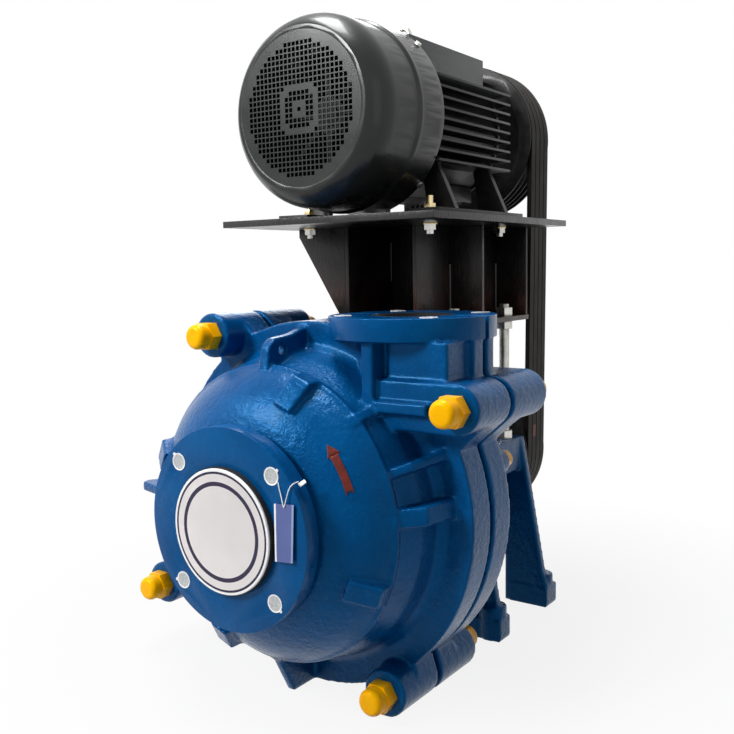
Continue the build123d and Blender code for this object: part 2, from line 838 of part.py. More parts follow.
packing_rows = [packing_start, packing_start + packing_w + lantern_w]
packing_rows += [packing_rows[1] + packing_w * row for row in (1, 2)]
with BuildPart() as packing_rings:
    for row in packing_rows:
        add(tube(row + 0.2, row + packing_w - 0.2, packing_bore_r - seat_gap, sleeve_r + run_gap))
finish(packing_rings.part, "packing_rings")
finish(
    tube(packing_start + packing_w, packing_start + packing_w + lantern_w, packing_bore_r - 0.1, sleeve_r + free_gap),
    "lantern_ring",
)

gland_nose = packing_rows[-1] + packing_w + 0.3
gland_front = box_rear + 6
gland_rear = gland_front + gland_flange_t
gland_ends = [(-gland_stud_x, 0), (gland_stud_x, 0)]
with BuildPart() as gland:
    with BuildSketch(across(gland_rear)):
        with Locations(*gland_ends):
            Circle(gland_ear_r)
        Circle(gland_flange_r)
        make_hull()
    extrude(amount=gland_flange_t)
    add(round_bars([across(gland_front)], packing_bore_r - run_gap, gland_front - gland_nose))
    add(round_bars([across(gland_rear)], sleeve_r + free_gap, gland_rear - gland_nose), mode=Mode.SUBTRACT)
    add(
        round_bars([across(gland_rear, x, z) for x, z in gland_ends], gland_stud_r + bolt_gap, gland_flange_t),
        mode=Mode.SUBTRACT,
    )
finish(gland.part, "gland")
gland_stud_rear = gland_rear + gland_nut_h + 12
finish(
    round_bars([across(gland_stud_rear, x, z) for x, z in gland_ends], gland_stud_r,
               gland_stud_rear - box_rear + 22),
    "gland_studs",
)
finish(
    hex_nuts([backwards(gland_rear, x, z) for x, z in gland_ends], gland_nut_flats, gland_nut_h,
             gland_stud_r + nut_slide_gap),
    "gland_nuts",
)

# Pump frame: adaptor ring, two legs, side rails and the cradle of the bearing housing
foot_x = foot_span_x / 2
foot_holes = [(-foot_x, -foot_span_y / 2), (foot_x, -foot_span_y / 2), (-foot_x, foot_span_y / 2),
              (foot_x, foot_span_y / 2)]


def leg_outline():
    # One transverse leg wall, wider at the foot, arched between the feet
    with BuildSketch() as leg:
        with BuildLine():
            Polyline(
                (-wall_top_half, wall_top), (wall_top_half, wall_top),
                (wall_foot_half - 10, foot_h + 30 - shaft_height), (wall_foot_half, foot_h - shaft_height),
                (wall_foot_half, -shaft_height), (-wall_foot_half, -shaft_height),
                (-wall_foot_half, foot_h - shaft_height), (-wall_foot_half + 10, foot_h + 30 - shaft_height),
                close=True,
            )
        make_face()
        with BuildLine():
            Polyline((-arch_half, -shaft_height), (-arch_half, arch_top - 40))
            ThreePointArc((-arch_half, arch_top - 40), (0, arch_top), (arch_half, arch_top - 40))
            Polyline((arch_half, arch_top - 40), (arch_half, -shaft_height), (-arch_half, -shaft_height))
        make_face(mode=Mode.SUBTRACT)
        Circle(saddle_r, mode=Mode.SUBTRACT)
        with Locations((0, wall_top)):
            Rectangle(2 * saddle_r, 2 * wall_top, mode=Mode.SUBTRACT)
    return leg.sketch


with BuildPart() as pump_frame:
    for wall in (front_wall, rear_wall):
        with BuildSketch(across(wall + wall_t)):
            add(leg_outline())
        extrude(amount=wall_t)
    for front, rear in (front_foot, rear_foot):
        with BuildSketch(across(rear)):
            with Locations(*[(side * (wall_foot_half - foot_w / 2), foot_h / 2 - shaft_height) for side in (-1, 1)]):
                Rectangle(foot_w, foot_h)
        extrude(amount=rear - front)
    with BuildSketch(Plane.XY):
        with Locations(*foot_holes):
            Circle(foot_boss_r - 2)
    extrude(amount=foot_boss_h)
    for side in (-1, 1):
        with BuildSketch(across(rear_wall + wall_t)):
            with Locations((side * (wall_top_half - rail_w / 2), wall_top - rail_h / 2)):
                Rectangle(rail_w, rail_h)
            with Locations((side * (wall_top_half - rail_web / 2), wall_top - rail_drop / 2)):
                Rectangle(rail_web, rail_drop)
        extrude(amount=rear_wall + wall_t - rear_face)
        with BuildSketch(level(shaft_height + wall_top, side * rod_x)):
            with Locations(*[(0, place) for place in rod_places]):
                Circle(rod_boss_r)
        extrude(amount=-rail_h)
        for place in clamp_places:
            with BuildSketch(across(place + ledge_half)):
                with Locations((side * (clamp_x + ledge_out), wall_top - rail_drop + ledge_t / 2)):
                    Rectangle(ledge_w, ledge_t)
            extrude(amount=2 * ledge_half)
    add(tube(rear_face, adaptor_rear, adaptor_r, adaptor_bore_r))
    with BuildSketch(across(rear_wall + wall_t)):
        Circle(saddle_r + cradle_t)
        Circle(saddle_r, mode=Mode.SUBTRACT)
        with Locations((0, saddle_r - cradle_drop)):
            Rectangle(4 * saddle_r, 2 * saddle_r, mode=Mode.SUBTRACT)
    extrude(amount=rear_wall + wall_t - front_wall)
    with BuildSketch(across(front_wall + wall_t)):
        Circle(trough_r)
        Circle(trough_r - cradle_t, mode=Mode.SUBTRACT)
        with Locations((0, trough_r - trough_drop)):
            Rectangle(4 * trough_r, 2 * trough_r, mode=Mode.SUBTRACT)
    extrude(amount=front_wall + wall_t - rear_face)
    with BuildSketch(Plane.XY):
        with Locations(*foot_holes):
            Circle(foot_hole_r)
    extrude(amount=foot_boss_h, mode=Mode.SUBTRACT)
    rod_holes = [level(shaft_height + wall_top, side * rod_x, place) for side in (-1, 1) for place in rod_places]
    add(round_bars(rod_holes, rod_r + thread_gap, -rail_h), mode=Mode.SUBTRACT)
    clamp_holes = [level(shaft_height, side * clamp_x, place) for side in (-1, 1) for place in clamp_places]
    add(round_bars(clamp_holes, clamp_bolt_r + bolt_gap, -rail_drop), mode=Mode.SUBTRACT)
    add(
        round_bars([across(adaptor_rear, x, z) for x, z in adaptor_studs], bolt_r + bolt_gap, adaptor_t),
        mode=Mode.SUBTRACT,
    )
finish(pump_frame.part, "pump_frame")

# Bearing housing clamped in the cradle
ledge_top = wall_top - rail_drop + ledge_t
lug_top = ledge_top + clamp_lug_t
with BuildPart() as bearing_housing:
    add(tube(housing_front, housing_rear, housing_r, bearing_r + seat_gap))
    for place in clamp_places:
        with BuildSketch(across(place + clamp_lug_half)):
            with Locations((0, (ledge_top + lug_top) / 2)):
                Rectangle(2 * (clamp_x + clamp_lug_end), lug_top - ledge_top)
            Circle(housing_r - 4, mode=Mode.SUBTRACT)
        extrude(amount=2 * clamp_lug_half)
    lug_holes = [plane.offset(ledge_top) for plane in clamp_holes]
    add(round_bars(lug_holes, clamp_bolt_r + bolt_gap, clamp_lug_t), mode=Mode.SUBTRACT)
finish(bearing_housing.part, "bearing_housing")

# Clamps: washer, bolt and nut at each housing lug
clamp_seats = [level(shaft_height + lug_top, side * clamp_x, place) for side in (-1, 1) for place in clamp_places]
clamp_tops = [plane.offset(clamp_washer_t) for plane in clamp_seats]
clamp_grip = clamp_washer_t + lug_top - (wall_top - rail_drop)
clamp_unders = [Plane(plane.offset(-clamp_grip).origin, z_dir=(0, 0, -1)) for plane in clamp_tops]
with BuildPart() as clamp_bolts:
    with BuildSketch(*clamp_seats):
        Rectangle(clamp_washer_w, clamp_washer_w)
        Circle(clamp_bolt_r + bolt_gap, mode=Mode.SUBTRACT)
    extrude(amount=clamp_washer_t)
    clamp_bolt_l = clamp_grip + clamp_nut_h + clamp_bolt_end
    add(hex_bolts(clamp_tops, clamp_flats, clamp_head_h, clamp_bolt_r, clamp_bolt_l))
    add(hex_nuts(clamp_unders, clamp_flats, clamp_nut_h, clamp_bolt_r + thread_gap))
finish(clamp_bolts.part, "clamp_bolts")

# Yellow caps pushed over the nuts of the casing and the heads of the clamp bolts
with BuildPart() as thread_covers:
    add(thread_caps(lug_faces, *cover_cap, bolt_nut_flats, bolt_nut_h, bolt_r, bolt_end))
    add(thread_caps(rim_faces, *rim_cap, rim_nut_flats, rim_nut_h, rim_stud_r, rim_stud_end))
    add(thread_caps(clamp_tops, *clamp_cap, clamp_flats, clamp_head_h, clamp_bolt_r, 0))
finish(thread_covers.part, "thread_caps")

# Bearings, end covers and deflector rings
with BuildPart() as bearing_cups:
    for start in bearing_starts:
        add(tube(start, start + bearing_w, bearing_r, bearing_r - 9))
finish(bearing_cups.part, "bearing_cups")
roller_pitch_r = bearing_r - 9 - roller_r - 0.3
with BuildPart() as bearing_cones:
    for start in bearing_starts:
        add(tube(start, start + bearing_w, roller_pitch_r - roller_r, bearing_bore_r))
        with BuildSketch(across(start + bearing_w - 2)):
            with PolarLocations(roller_pitch_r, roller_count):
                Circle(roller_r - 0.05)
        extrude(amount=bearing_w - 4)
finish(bearing_cones.part, "bearing_cones")

cover_bore_r = bearing_bore_r + 10
with BuildPart() as bearing_end_covers:
    add(tube(housing_front - end_cover_t, housing_front, end_cover_r, cover_bore_r))
    add(tube(housing_front, bearing_starts[0], bearing_r - seat_gap, bearing_r - 8))
    add(tube(housing_rear, housing_rear + end_cover_t, end_cover_r, cover_bore_r))
    add(tube(bearing_starts[1] + bearing_w, housing_rear, bearing_r - seat_gap, bearing_r - 8))
finish(bearing_end_covers.part, "bearing_end_covers")
cover_screw_places = polar(end_cover_r - 10, (30, 90, 150, 210, 270, 330))
screw_planes = [across(housing_front - end_cover_t, x, z) for x, z in cover_screw_places]
screw_planes += [backwards(housing_rear + end_cover_t, x, z) for x, z in cover_screw_places]
finish(hex_heads(screw_planes, end_screw_flats, end_screw_h), "end_cover_screws")
with BuildPart() as deflectors:
    add(tube(gland_rear + gland_travel + 1, housing_front - end_cover_t - 1, deflector_r, bearing_bore_r))
    add(tube(housing_front - end_cover_t + 0.5, housing_front - 1, cover_bore_r - free_gap, bearing_bore_r))
finish(deflectors.part, "shaft_deflector")


# Pulleys and belts
def belt_centres():
    return [pulley_front + pulley_edge + belt_pitch * step for step in range(belt_count)]


pulley_rear = pulley_front + 2 * pulley_edge + belt_pitch * (belt_count - 1)


def pulley(belt_r, bore_r, height):
    # Grooved pulley with a recessed web each side of its hub
    rim = belt_r - rim_below_belt
    slope = tan(radians(belt_angle))
    top_half = belt_top_half + belt_gap / cos(radians(belt_angle)) - rim_below_belt * slope
    foot_half = top_half - groove_depth * slope
    points = [(pulley_front, bore_r), (pulley_front, rim)]
    for centre in belt_centres():
        points += [
            (centre - top_half, rim), (centre - foot_half, rim - groove_depth),
            (centre + foot_half, rim - groove_depth), (centre + top_half, rim),
        ]
    points += [(pulley_rear, rim), (pulley_rear, bore_r)]
    recess = (pulley_rear - pulley_front - pulley_web) / 2
    with BuildPart() as wheel:
        add(turned(points, height))
        for front, rear in ((pulley_front, pulley_front + recess), (pulley_rear - recess, pulley_rear)):
            add(tube(front, rear, rim - groove_depth - 12, bore_r + 22, height), mode=Mode.SUBTRACT)
    return wheel.part


with BuildPart() as pump_pulley:
    add(pulley(pump_belt_r, shaft_drive_r + seat_gap, shaft_height))
    with BuildSketch(across(pulley_rear, 0, shaft_drive_r)):
        Rectangle(key_w, key_h)
    extrude(amount=pulley_rear - pulley_front, mode=Mode.SUBTRACT)
finish(pump_pulley.part, "pump_pulley")

motor_key_w, motor_key_h = 12.0, 8.0
with BuildPart() as motor_pulley:
    add(pulley(motor_belt_r, motor_shaft_r + seat_gap, motor_height))
    with BuildSketch(across(pulley_rear, 0, motor_shaft_r, motor_height)):
        Rectangle(motor_key_w, motor_key_h)
    extrude(amount=pulley_rear - pulley_front, mode=Mode.SUBTRACT)
finish(motor_pulley.part, "motor_pulley")

shaft_distance = motor_height - shaft_height
tangent_z = (pump_belt_r - motor_belt_r) / shaft_distance
tangent_x = sqrt(1 - tangent_z**2)
with BuildPart() as v_belts:
    for centre in belt_centres():
        with BuildLine(across(centre)) as loop:
            low = ThreePointArc(
                (-pump_belt_r * tangent_x, pump_belt_r * tangent_z), (0, -pump_belt_r),
                (pump_belt_r * tangent_x, pump_belt_r * tangent_z),
            )
            right = Line(low @ 1, (motor_belt_r * tangent_x, shaft_distance + motor_belt_r * tangent_z))
            high = ThreePointArc(
                right @ 1, (0, shaft_distance + motor_belt_r),
                (-motor_belt_r * tangent_x, shaft_distance + motor_belt_r * tangent_z),
            )
            Line(high @ 1, low @ 0)
        foot_half = belt_top_half - belt_h * tan(radians(belt_angle))
        with BuildSketch(Plane(origin=loop.line @ 0, x_dir=(0, 1, 0), z_dir=loop.line % 0)):
            with BuildLine():
                Polyline((-belt_top_half, 0), (belt_top_half, 0), (foot_half, belt_h), (-foot_half, belt_h), close=True)
            make_face()
        sweep(path=loop.line)
finish(v_belts.part, "v_belts")

# Adjusting rods between the pump frame and the motor stool
rod_feet = [level(shaft_height + wall_top - rail_h, side * rod_x, place) for side in (-1, 1) for place in rod_places]
finish(round_bars(rod_feet, rod_r, rod_top - shaft_height - wall_top + rail_h), "adjusting_rods")
rod_seats = [plane.offset(rail_h) for plane in rod_feet]
finish(hex_nuts(rod_seats, rod_nut_flats, rod_nut_h, rod_r + thread_gap), "rod_base_nuts")
base_plate_low = base_plate_top - base_plate_t
platform_nut_planes = [
    level(height, side * rod_x, place)
    for height in (base_plate_low - rod_nut_h, base_plate_top) for side in (-1, 1) for place in rod_places
]
finish(hex_nuts(platform_nut_planes, rod_nut_flats, rod_nut_h, rod_r + nut_slide_gap), "platform_nuts")


def flat_plate(bounds, height, thickness):
    # Rectangular plate with its underside at a height; the bounds are X low, X high, front and rear
    low_x, high_x, front, rear = bounds
    with BuildPart() as plate:
        with BuildSketch(level(height, (low_x + high_x) / 2, (front + rear) / 2)):
            Rectangle(high_x - low_x, rear - front)
        extrude(amount=thickness)
    return plate.part


# Motor stool, welded from plate
with BuildPart() as stool_base_plate:
    add(flat_plate(base_plate, base_plate_low, base_plate_t))
    rod_passes = [level(base_plate_low, side * rod_x, place) for side in (-1, 1) for place in rod_places]
    add(round_bars(rod_passes, rod_r + bolt_gap, base_plate_t), mode=Mode.SUBTRACT)
finish(stool_base_plate.part, "stool_base_plate")

motor_foot_holes = [(side * motor_foot_x, place) for side in (-1, 1) for place in motor_foot_places]
top_plate_low = plate_top_height - top_plate_t
with BuildPart() as motor_plate:
    add(flat_plate(top_plate, top_plate_low, top_plate_t))
    foot_passes = [level(top_plate_low, x, place) for x, place in motor_foot_holes]
    add(round_bars(foot_passes, motor_stud_r + bolt_gap, top_plate_t), mode=Mode.SUBTRACT)
finish(motor_plate.part, "motor_plate")

stool_h = top_plate_low - base_plate_top
with BuildPart() as stool_sides:
    for side in (-1, 1):
        x = side * stool_half_x
        add(flat_plate((x - stool_t / 2, x + stool_t / 2, stool_front, stool_rear), base_plate_top, stool_h))
finish(stool_sides.part, "stool_side_plates")

inner_x = stool_half_x - stool_t / 2
outer_x = stool_half_x + stool_t / 2
with BuildPart() as stool_webs:
    add(flat_plate((-inner_x, inner_x, stool_web, stool_web + stool_t), base_plate_top, stool_h))
    for place in stool_ribs:
        add(flat_plate((outer_x, stool_rib_x, place - stool_t / 2, place + stool_t / 2), base_plate_top, stool_h))
        add(flat_plate((-stool_rib_x, -outer_x, place - stool_t / 2, place + stool_t / 2), base_plate_top, stool_h))
    with BuildSketch(across(stool_front + stool_t, 0, 0, base_plate_top)):
        with BuildLine():
            Polyline(
                (-outer_x, 0), (-outer_x, stool_h), (-front_gusset_x, stool_h),
                (-front_gusset_x, stool_h - front_gusset_lip), (-outer_x - stool_t, 0), close=True,
            )
        make_face()
    extrude(amount=stool_t)
finish(stool_webs.part, "stool_ribs")

# Motor housing: finned tube with its feet, lifting pad and terminal box seat
box_half = (45.0, 45.0)
box_place = (240.0, 20.0)
box_seat_x = -150.0
with BuildPart() as motor_housing:
    add(tube(motor_body[0], motor_body[1], motor_body_r, motor_bore_r, motor_height))
    with BuildSketch(across(motor_body[1] - 4, height=motor_height)):
        for step in range(fin_count):
            z = fin_low + fin_pitch * step
            with Locations((0, z)):
                Rectangle(2 * fin_tip_x, fin_t)
        for x in top_fins:
            with Locations((x, (top_fin_low + top_fin_high) / 2)):
                Rectangle(fin_t, top_fin_high - top_fin_low)
        for x in under_fins:
            with Locations((x, (under_fin_low + under_fin_top) / 2)):
                Rectangle(fin_t, under_fin_top - under_fin_low)
        Circle(motor_body_r - 2, mode=Mode.SUBTRACT)
    extrude(amount=motor_body[1] - motor_body[0] - 8)
    with BuildSketch(across(pad[1], height=motor_height)):
        with Locations((0, pad_top - 24)):
            Rectangle(2 * pad_half_x, 48)
        Circle(motor_body_r - 2, mode=Mode.SUBTRACT)
    extrude(amount=pad[1] - pad[0])
    with BuildSketch(across(box_place[0] + box_half[0], height=motor_height)):
        with Locations(((box_seat_x - 100) / 2, box_place[1])):
            Rectangle(-100 - box_seat_x, 2 * box_half[1])
        Circle(motor_body_r - 2, mode=Mode.SUBTRACT)
    extrude(amount=2 * box_half[0])
    foot_low = -motor_centre
    for side in (-1, 1):
        with BuildSketch(across(motor_foot[1], height=motor_height)):
            with Locations((side * (motor_foot_half[0] + motor_foot_half[1]) / 2, foot_low + motor_foot_t / 2)):
                Rectangle(motor_foot_half[1] - motor_foot_half[0], motor_foot_t)
        extrude(amount=motor_foot[1] - motor_foot[0])
        for place in foot_webs:
            with BuildSketch(across(place + foot_web_t / 2, height=motor_height)):
                with BuildLine():
                    Polyline(
                        (side * (motor_foot_half[0] + 3), foot_low + motor_foot_t),
                        (side * (motor_foot_half[1] - 8), foot_low + motor_foot_t),
                        (side * foot_web_top[1], foot_web_top_z), (side * foot_web_top[0], foot_web_top_z), close=True,
                    )
                make_face()
                Circle(motor_body_r - 2, mode=Mode.SUBTRACT)
            extrude(amount=foot_web_t)
    foot_drills = [level(plate_top_height, x, place) for x, place in motor_foot_holes]
    add(round_bars(foot_drills, motor_stud_r + bolt_gap, motor_foot_t), mode=Mode.SUBTRACT)
    eye_hole = [level(motor_height + pad_top - eye_hole_l, 0, eye_place)]
    add(round_bars(eye_hole, eye_thread_r + thread_gap, eye_hole_l), mode=Mode.SUBTRACT)
finish(motor_housing.part, "motor_housing")

# Motor end shields, stator, rotor and bearings
end_hub_r = 44.0
motor_bearing_r = 42.0
cover_screw_y = cover_rear - 10
with BuildPart() as fan_end_shield:
    add(
        turned([
            (98, motor_bearing_r + seat_gap), (98, end_hub_r + 8), (112, end_hub_r + 12),
            (112, motor_body_r - 6), (122, motor_body_r - 6), (122, motor_bore_r - seat_gap),
            (134, motor_bore_r - seat_gap), (134, motor_bore_r - 10), (120, motor_bearing_r + 12),
            (120, motor_bearing_r + seat_gap),
        ], motor_height)
    )
    for x, z in polar(1, quarter_angles):
        bracket = Plane(
            origin=(x * (motor_body_r - 12), split_y + cover_screw_y + 4, motor_height + z * (motor_body_r - 12)),
            x_dir=(0, 1, 0), z_dir=(x, 0, z),
        )
        with BuildSketch(bracket):
            Rectangle(12, 20)
        extrude(amount=cover_rear_r - cover_wall - 1.6 - motor_body_r + 12)
finish(fan_end_shield.part, "motor_fan_end_shield")
finish(
    turned([
        (412, motor_bearing_r + seat_gap), (412, end_hub_r + 10), (400, end_hub_r + 18),
        (396, motor_body_r + 4), (388, motor_body_r + 4), (388, motor_bore_r - seat_gap), (376, motor_bore_r - seat_gap),
        (376, motor_bore_r - 10), (390, motor_bearing_r + 12), (390, motor_bearing_r + seat_gap),
    ], motor_height),
    "motor_drive_end_shield",
)
motor_bearings = ((99.0, 119.0), (391.0, 411.0))
with BuildPart() as motor_bearing_cups:
    for front, rear in motor_bearings:
        add(tube(front, rear, motor_bearing_r, motor_bearing_r - 5, motor_height))
finish(motor_bearing_cups.part, "motor_bearing_cups")
with BuildPart() as motor_bearing_cones:
    for front, rear in motor_bearings:
        add(tube(front, rear, motor_bearing_r - 5.5, motor_seat_r + seat_gap, motor_height))
finish(motor_bearing_cones.part, "motor_bearing_cones")
finish(
    turned([
        (core[0], stator_bore_r), (core[0], 70), (core[0] - 26, 72), (core[0] - 26, 96), (core[0], 98),
        (core[0], motor_bore_r - seat_gap), (core[1], motor_bore_r - seat_gap), (core[1], 98),
        (core[1] + 26, 96), (core[1] + 26, 72), (core[1], 70), (core[1], stator_bore_r),
    ], motor_height),
    "stator",
)
finish(tube(core[0], core[1], rotor_r, motor_seat_r + 4 + seat_gap, motor_height), "rotor_core")
with BuildPart() as motor_shaft:
    add(
        turned([
            (18, 0), (18, motor_seat_r - 4), (84, motor_seat_r - 4), (84, motor_seat_r), (124, motor_seat_r),
            (124, motor_seat_r + 4), (386, motor_seat_r + 4), (386, motor_seat_r), (420, motor_seat_r),
            (420, motor_shaft_r), (pulley_rear + 2, motor_shaft_r), (pulley_rear + 2, 0),
        ], motor_height)
    )
    with BuildSketch(across(pulley_rear - 4, 0, motor_shaft_r, motor_height)):
        Rectangle(motor_key_w, motor_key_h)
    extrude(amount=pulley_rear - pulley_front - 8, mode=Mode.SUBTRACT)
finish(motor_shaft.part, "motor_shaft")
with BuildPart() as motor_key:
    with BuildSketch(across(pulley_rear - 4 - seat_gap, 0, motor_shaft_r, motor_height)):
        Rectangle(motor_key_w - 2 * seat_gap, motor_key_h - 2 * seat_gap)
    extrude(amount=pulley_rear - pulley_front - 8 - 2 * seat_gap)
finish(motor_key.part, "motor_key")

# Cooling fan under the fan cover
with BuildPart() as cooling_fan:
    add(tube(fan[0], fan[1] + 8, 30, motor_seat_r - 4 + seat_gap, motor_height))
    add(tube(fan[1], fan[1] + 4, fan_r - 8, 28, motor_height))
    with BuildSketch(across(fan[1], height=motor_height)):
        with PolarLocations((fan_r + 28) / 2, fan_blades):
            Rectangle(fan_r - 28, 4)
    extrude(amount=fan[1] - fan[0])
finish(cooling_fan.part, "cooling_fan")

# Fan cover: a flared shell with a beaded edge, and its flat grille of square holes
with BuildPart() as fan_cover:
    with BuildSketch(along(height=motor_height)):
        with BuildLine():
            outer = [(cover_face, cover_face_r - 8), (cover_face, cover_face_r), (cover_face + cover_flare, cover_r)]
            Line(outer[0], outer[1])
            ThreePointArc(outer[1], (cover_face + 18, cover_face_r + 17), outer[2])
            Polyline(
                outer[2], (50, cover_r + 1), (54, cover_r + 5), (60, cover_r + 5), (64, cover_r + 2),
                (cover_rear, cover_rear_r), (cover_rear, cover_rear_r - cover_wall), (60, cover_r - cover_wall + 2),
                (cover_face + cover_flare, cover_r - cover_wall),
            )
            ThreePointArc(
                (cover_face + cover_flare, cover_r - cover_wall), (cover_face + 20, cover_face_r + 13),
                (cover_face + cover_wall, cover_face_r - cover_wall),
            )
            Polyline(
                (cover_face + cover_wall, cover_face_r - cover_wall), (cover_face + cover_wall, cover_face_r - 8),
                outer[0],
            )
        make_face()
    revolve(axis=motor_axis)
finish(fan_cover.part, "fan_cover")

with BuildPart() as fan_grille:
    with BuildSketch(across(cover_face + cover_wall, height=motor_height)):
        Circle(cover_face_r - 8 - seat_gap)
        count = int(2 * grille_r / grille_pitch)
        middle = (count - 1) / 2
        holes = [
            ((i - middle) * grille_pitch, (j - middle) * grille_pitch) for i in range(count) for j in range(count)
        ]
        keep = [
            p for p in holes
            if p[0] ** 2 + p[1] ** 2 < (grille_r - grille_hole) ** 2
            and not grille_pitch < max(abs(p[0]), abs(p[1])) < 2.2 * grille_pitch
        ]
        with Locations(*keep):
            Rectangle(grille_hole, grille_hole, mode=Mode.SUBTRACT)
    extrude(amount=cover_wall)
finish(fan_grille.part, "fan_grille")

screw_seats = [
    Plane(
        origin=(x * (cover_rear_r + 0.1), split_y + cover_screw_y + 4, motor_height + z * (cover_rear_r + 0.1)),
        z_dir=(x, 0, z),
    )
    for x, z in polar(1, quarter_angles)
]

# Terminal box on the left of the motor, its lid, screws and cable gland
box_depth = 58.0
box_wall = 4.0
outer_half = (60.0, 52.0)
cable_r = 10.0
gland_x = box_seat_x - box_depth / 2
gland_top = motor_height + box_place[1] - outer_half[1]
with BuildPart() as terminal_box:
    box_plane = Plane(
        origin=(box_seat_x, split_y + box_place[0], motor_height + box_place[1]), x_dir=(0, 1, 0), z_dir=(-1, 0, 0)
    )
    with BuildSketch(box_plane):
        RectangleRounded(2 * outer_half[0], 2 * outer_half[1], 8)
    extrude(amount=box_depth)
    with BuildSketch(box_plane.offset(box_wall)):
        RectangleRounded(2 * outer_half[0] - 2 * box_wall, 2 * outer_half[1] - 2 * box_wall, 5)
    extrude(amount=box_depth, mode=Mode.SUBTRACT)
    add(
        round_bars([Plane((gland_x, split_y + box_place[0], gland_top))], cable_r, 2 * box_wall),
        mode=Mode.SUBTRACT,
    )
finish(terminal_box.part, "terminal_box")
with BuildPart() as terminal_box_lid:
    with BuildSketch(box_plane.offset(box_depth)):
        RectangleRounded(2 * outer_half[0] + 4, 2 * outer_half[1] + 4, 9)
    extrude(amount=9)
    fillet(terminal_box_lid.edges().group_by(Axis.X)[0], 3)
finish(terminal_box_lid.part, "terminal_box_lid")
lid_face = box_plane.offset(box_depth + 9)
lid_corners = [(sx * (outer_half[0] - 9), sz * (outer_half[1] - 9)) for sx in (-1, 1) for sz in (-1, 1)]
with BuildPart() as motor_screws:
    with BuildSketch(lid_face):
        with Locations(*lid_corners):
            Circle(5)
    extrude(amount=4)
    add(hex_heads(screw_seats, cover_screw_flats, cover_screw_h))
finish(motor_screws.part, "motor_cover_screws")
with BuildPart() as cable_gland:
    for flats, drop, height in ((36, 0, 8), (30, 8, 14)):
        under = Plane(origin=(gland_x, split_y + box_place[0], gland_top - drop), z_dir=(0, 0, -1))
        add(hex_nuts([under], flats, height, cable_r))
finish(cable_gland.part, "cable_gland")

# Lifting eye on the motor, and the motor's foot bolts
eye_y = split_y + eye_place
eye_z = motor_height + pad_top
with BuildPart() as lifting_eye:
    with BuildSketch(Plane((0, eye_y, eye_z))):
        Circle(eye_collar_r)
    extrude(amount=eye_collar_t)
    with BuildSketch(Plane((0, eye_y, eye_z))):
        Circle(eye_thread_r)
    extrude(amount=-eye_thread_l)
    with Locations(Location((0, eye_y, eye_z + eye_rise), (90, 0, 0))):
        Torus(eye_ring_r, eye_bar_r)
finish(lifting_eye.part, "lifting_eye")

foot_tops = [level(plate_top_height + motor_foot_t, x, place) for x, place in motor_foot_holes]
foot_unders = [
    Plane(origin=(x, split_y + place, top_plate_low), z_dir=(0, 0, -1)) for x, place in motor_foot_holes
]
foot_grip = motor_foot_t + top_plate_t
foot_washer_seats = foot_unders
foot_nut_seats = [plane.offset(motor_washer_t) for plane in foot_unders]
with BuildPart() as motor_foot_bolts:
    stud_tops = [plane.offset(motor_nut_h + motor_stud_end) for plane in foot_tops]
    stud_l = motor_stud_end + 2 * motor_nut_h + foot_grip + motor_washer_t + motor_stud_end / 2
    add(round_bars(stud_tops, motor_stud_r, -stud_l))
    add(hex_heads(foot_tops, motor_nut_flats, motor_nut_h))
    add(round_bars(foot_washer_seats, motor_washer_r, motor_washer_t))
    add(hex_heads(foot_nut_seats, motor_nut_flats, motor_nut_h))
finish(motor_foot_bolts.part, "motor_foot_bolts")
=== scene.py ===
import json
from math import cos, pi, radians, sin

import bpy
from mathutils import Matrix, Vector


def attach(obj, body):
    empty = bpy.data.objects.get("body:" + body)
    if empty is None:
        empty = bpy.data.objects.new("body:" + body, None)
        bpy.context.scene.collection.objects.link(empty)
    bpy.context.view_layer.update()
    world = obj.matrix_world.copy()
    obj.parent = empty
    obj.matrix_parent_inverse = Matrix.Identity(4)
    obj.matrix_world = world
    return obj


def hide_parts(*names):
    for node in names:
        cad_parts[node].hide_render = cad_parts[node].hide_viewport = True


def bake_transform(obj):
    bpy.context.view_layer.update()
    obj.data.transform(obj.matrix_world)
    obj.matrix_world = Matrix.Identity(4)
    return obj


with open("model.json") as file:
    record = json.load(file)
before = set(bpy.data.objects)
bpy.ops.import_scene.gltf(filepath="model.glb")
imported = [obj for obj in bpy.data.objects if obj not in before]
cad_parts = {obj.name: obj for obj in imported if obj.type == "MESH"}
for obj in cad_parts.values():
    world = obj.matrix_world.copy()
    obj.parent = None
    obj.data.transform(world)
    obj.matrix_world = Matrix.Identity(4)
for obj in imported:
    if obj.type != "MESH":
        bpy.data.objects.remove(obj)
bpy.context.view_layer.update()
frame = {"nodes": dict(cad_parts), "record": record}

nodes = frame["nodes"]
splitY = -0.3575  # plane where the casing halves meet
pumpAxisZ = 0.3
motorAxisZ = 0.925
suctionFaceY = splitY - 0.248
dischargeX, dischargeTopZ = 0.169, 0.605
smoothAngle = 35.0  # edges flatter than this are shaded smooth, and sharper ones can be broken
mergeDistance = 0.00002  # vertices closer than this are one


def bodyOf(nodeName):
    bodies = frame["record"]["behaviour"]["bodies"]
    return next(body for body, names in bodies.items() if nodeName in names)


def only(piece):  # operators act on all that is selected
    bpy.ops.object.select_all(action="DESELECT")
    piece.select_set(True)
    bpy.context.view_layer.objects.active = piece


def applyAll(piece):
    only(piece)
    for modifier in list(piece.modifiers):
        bpy.ops.object.modifier_apply(modifier=modifier.name)


def dress(piece, *names):
    piece.data.materials.clear()
    for name in names:
        piece.data.materials.append(materials[name])


# materials

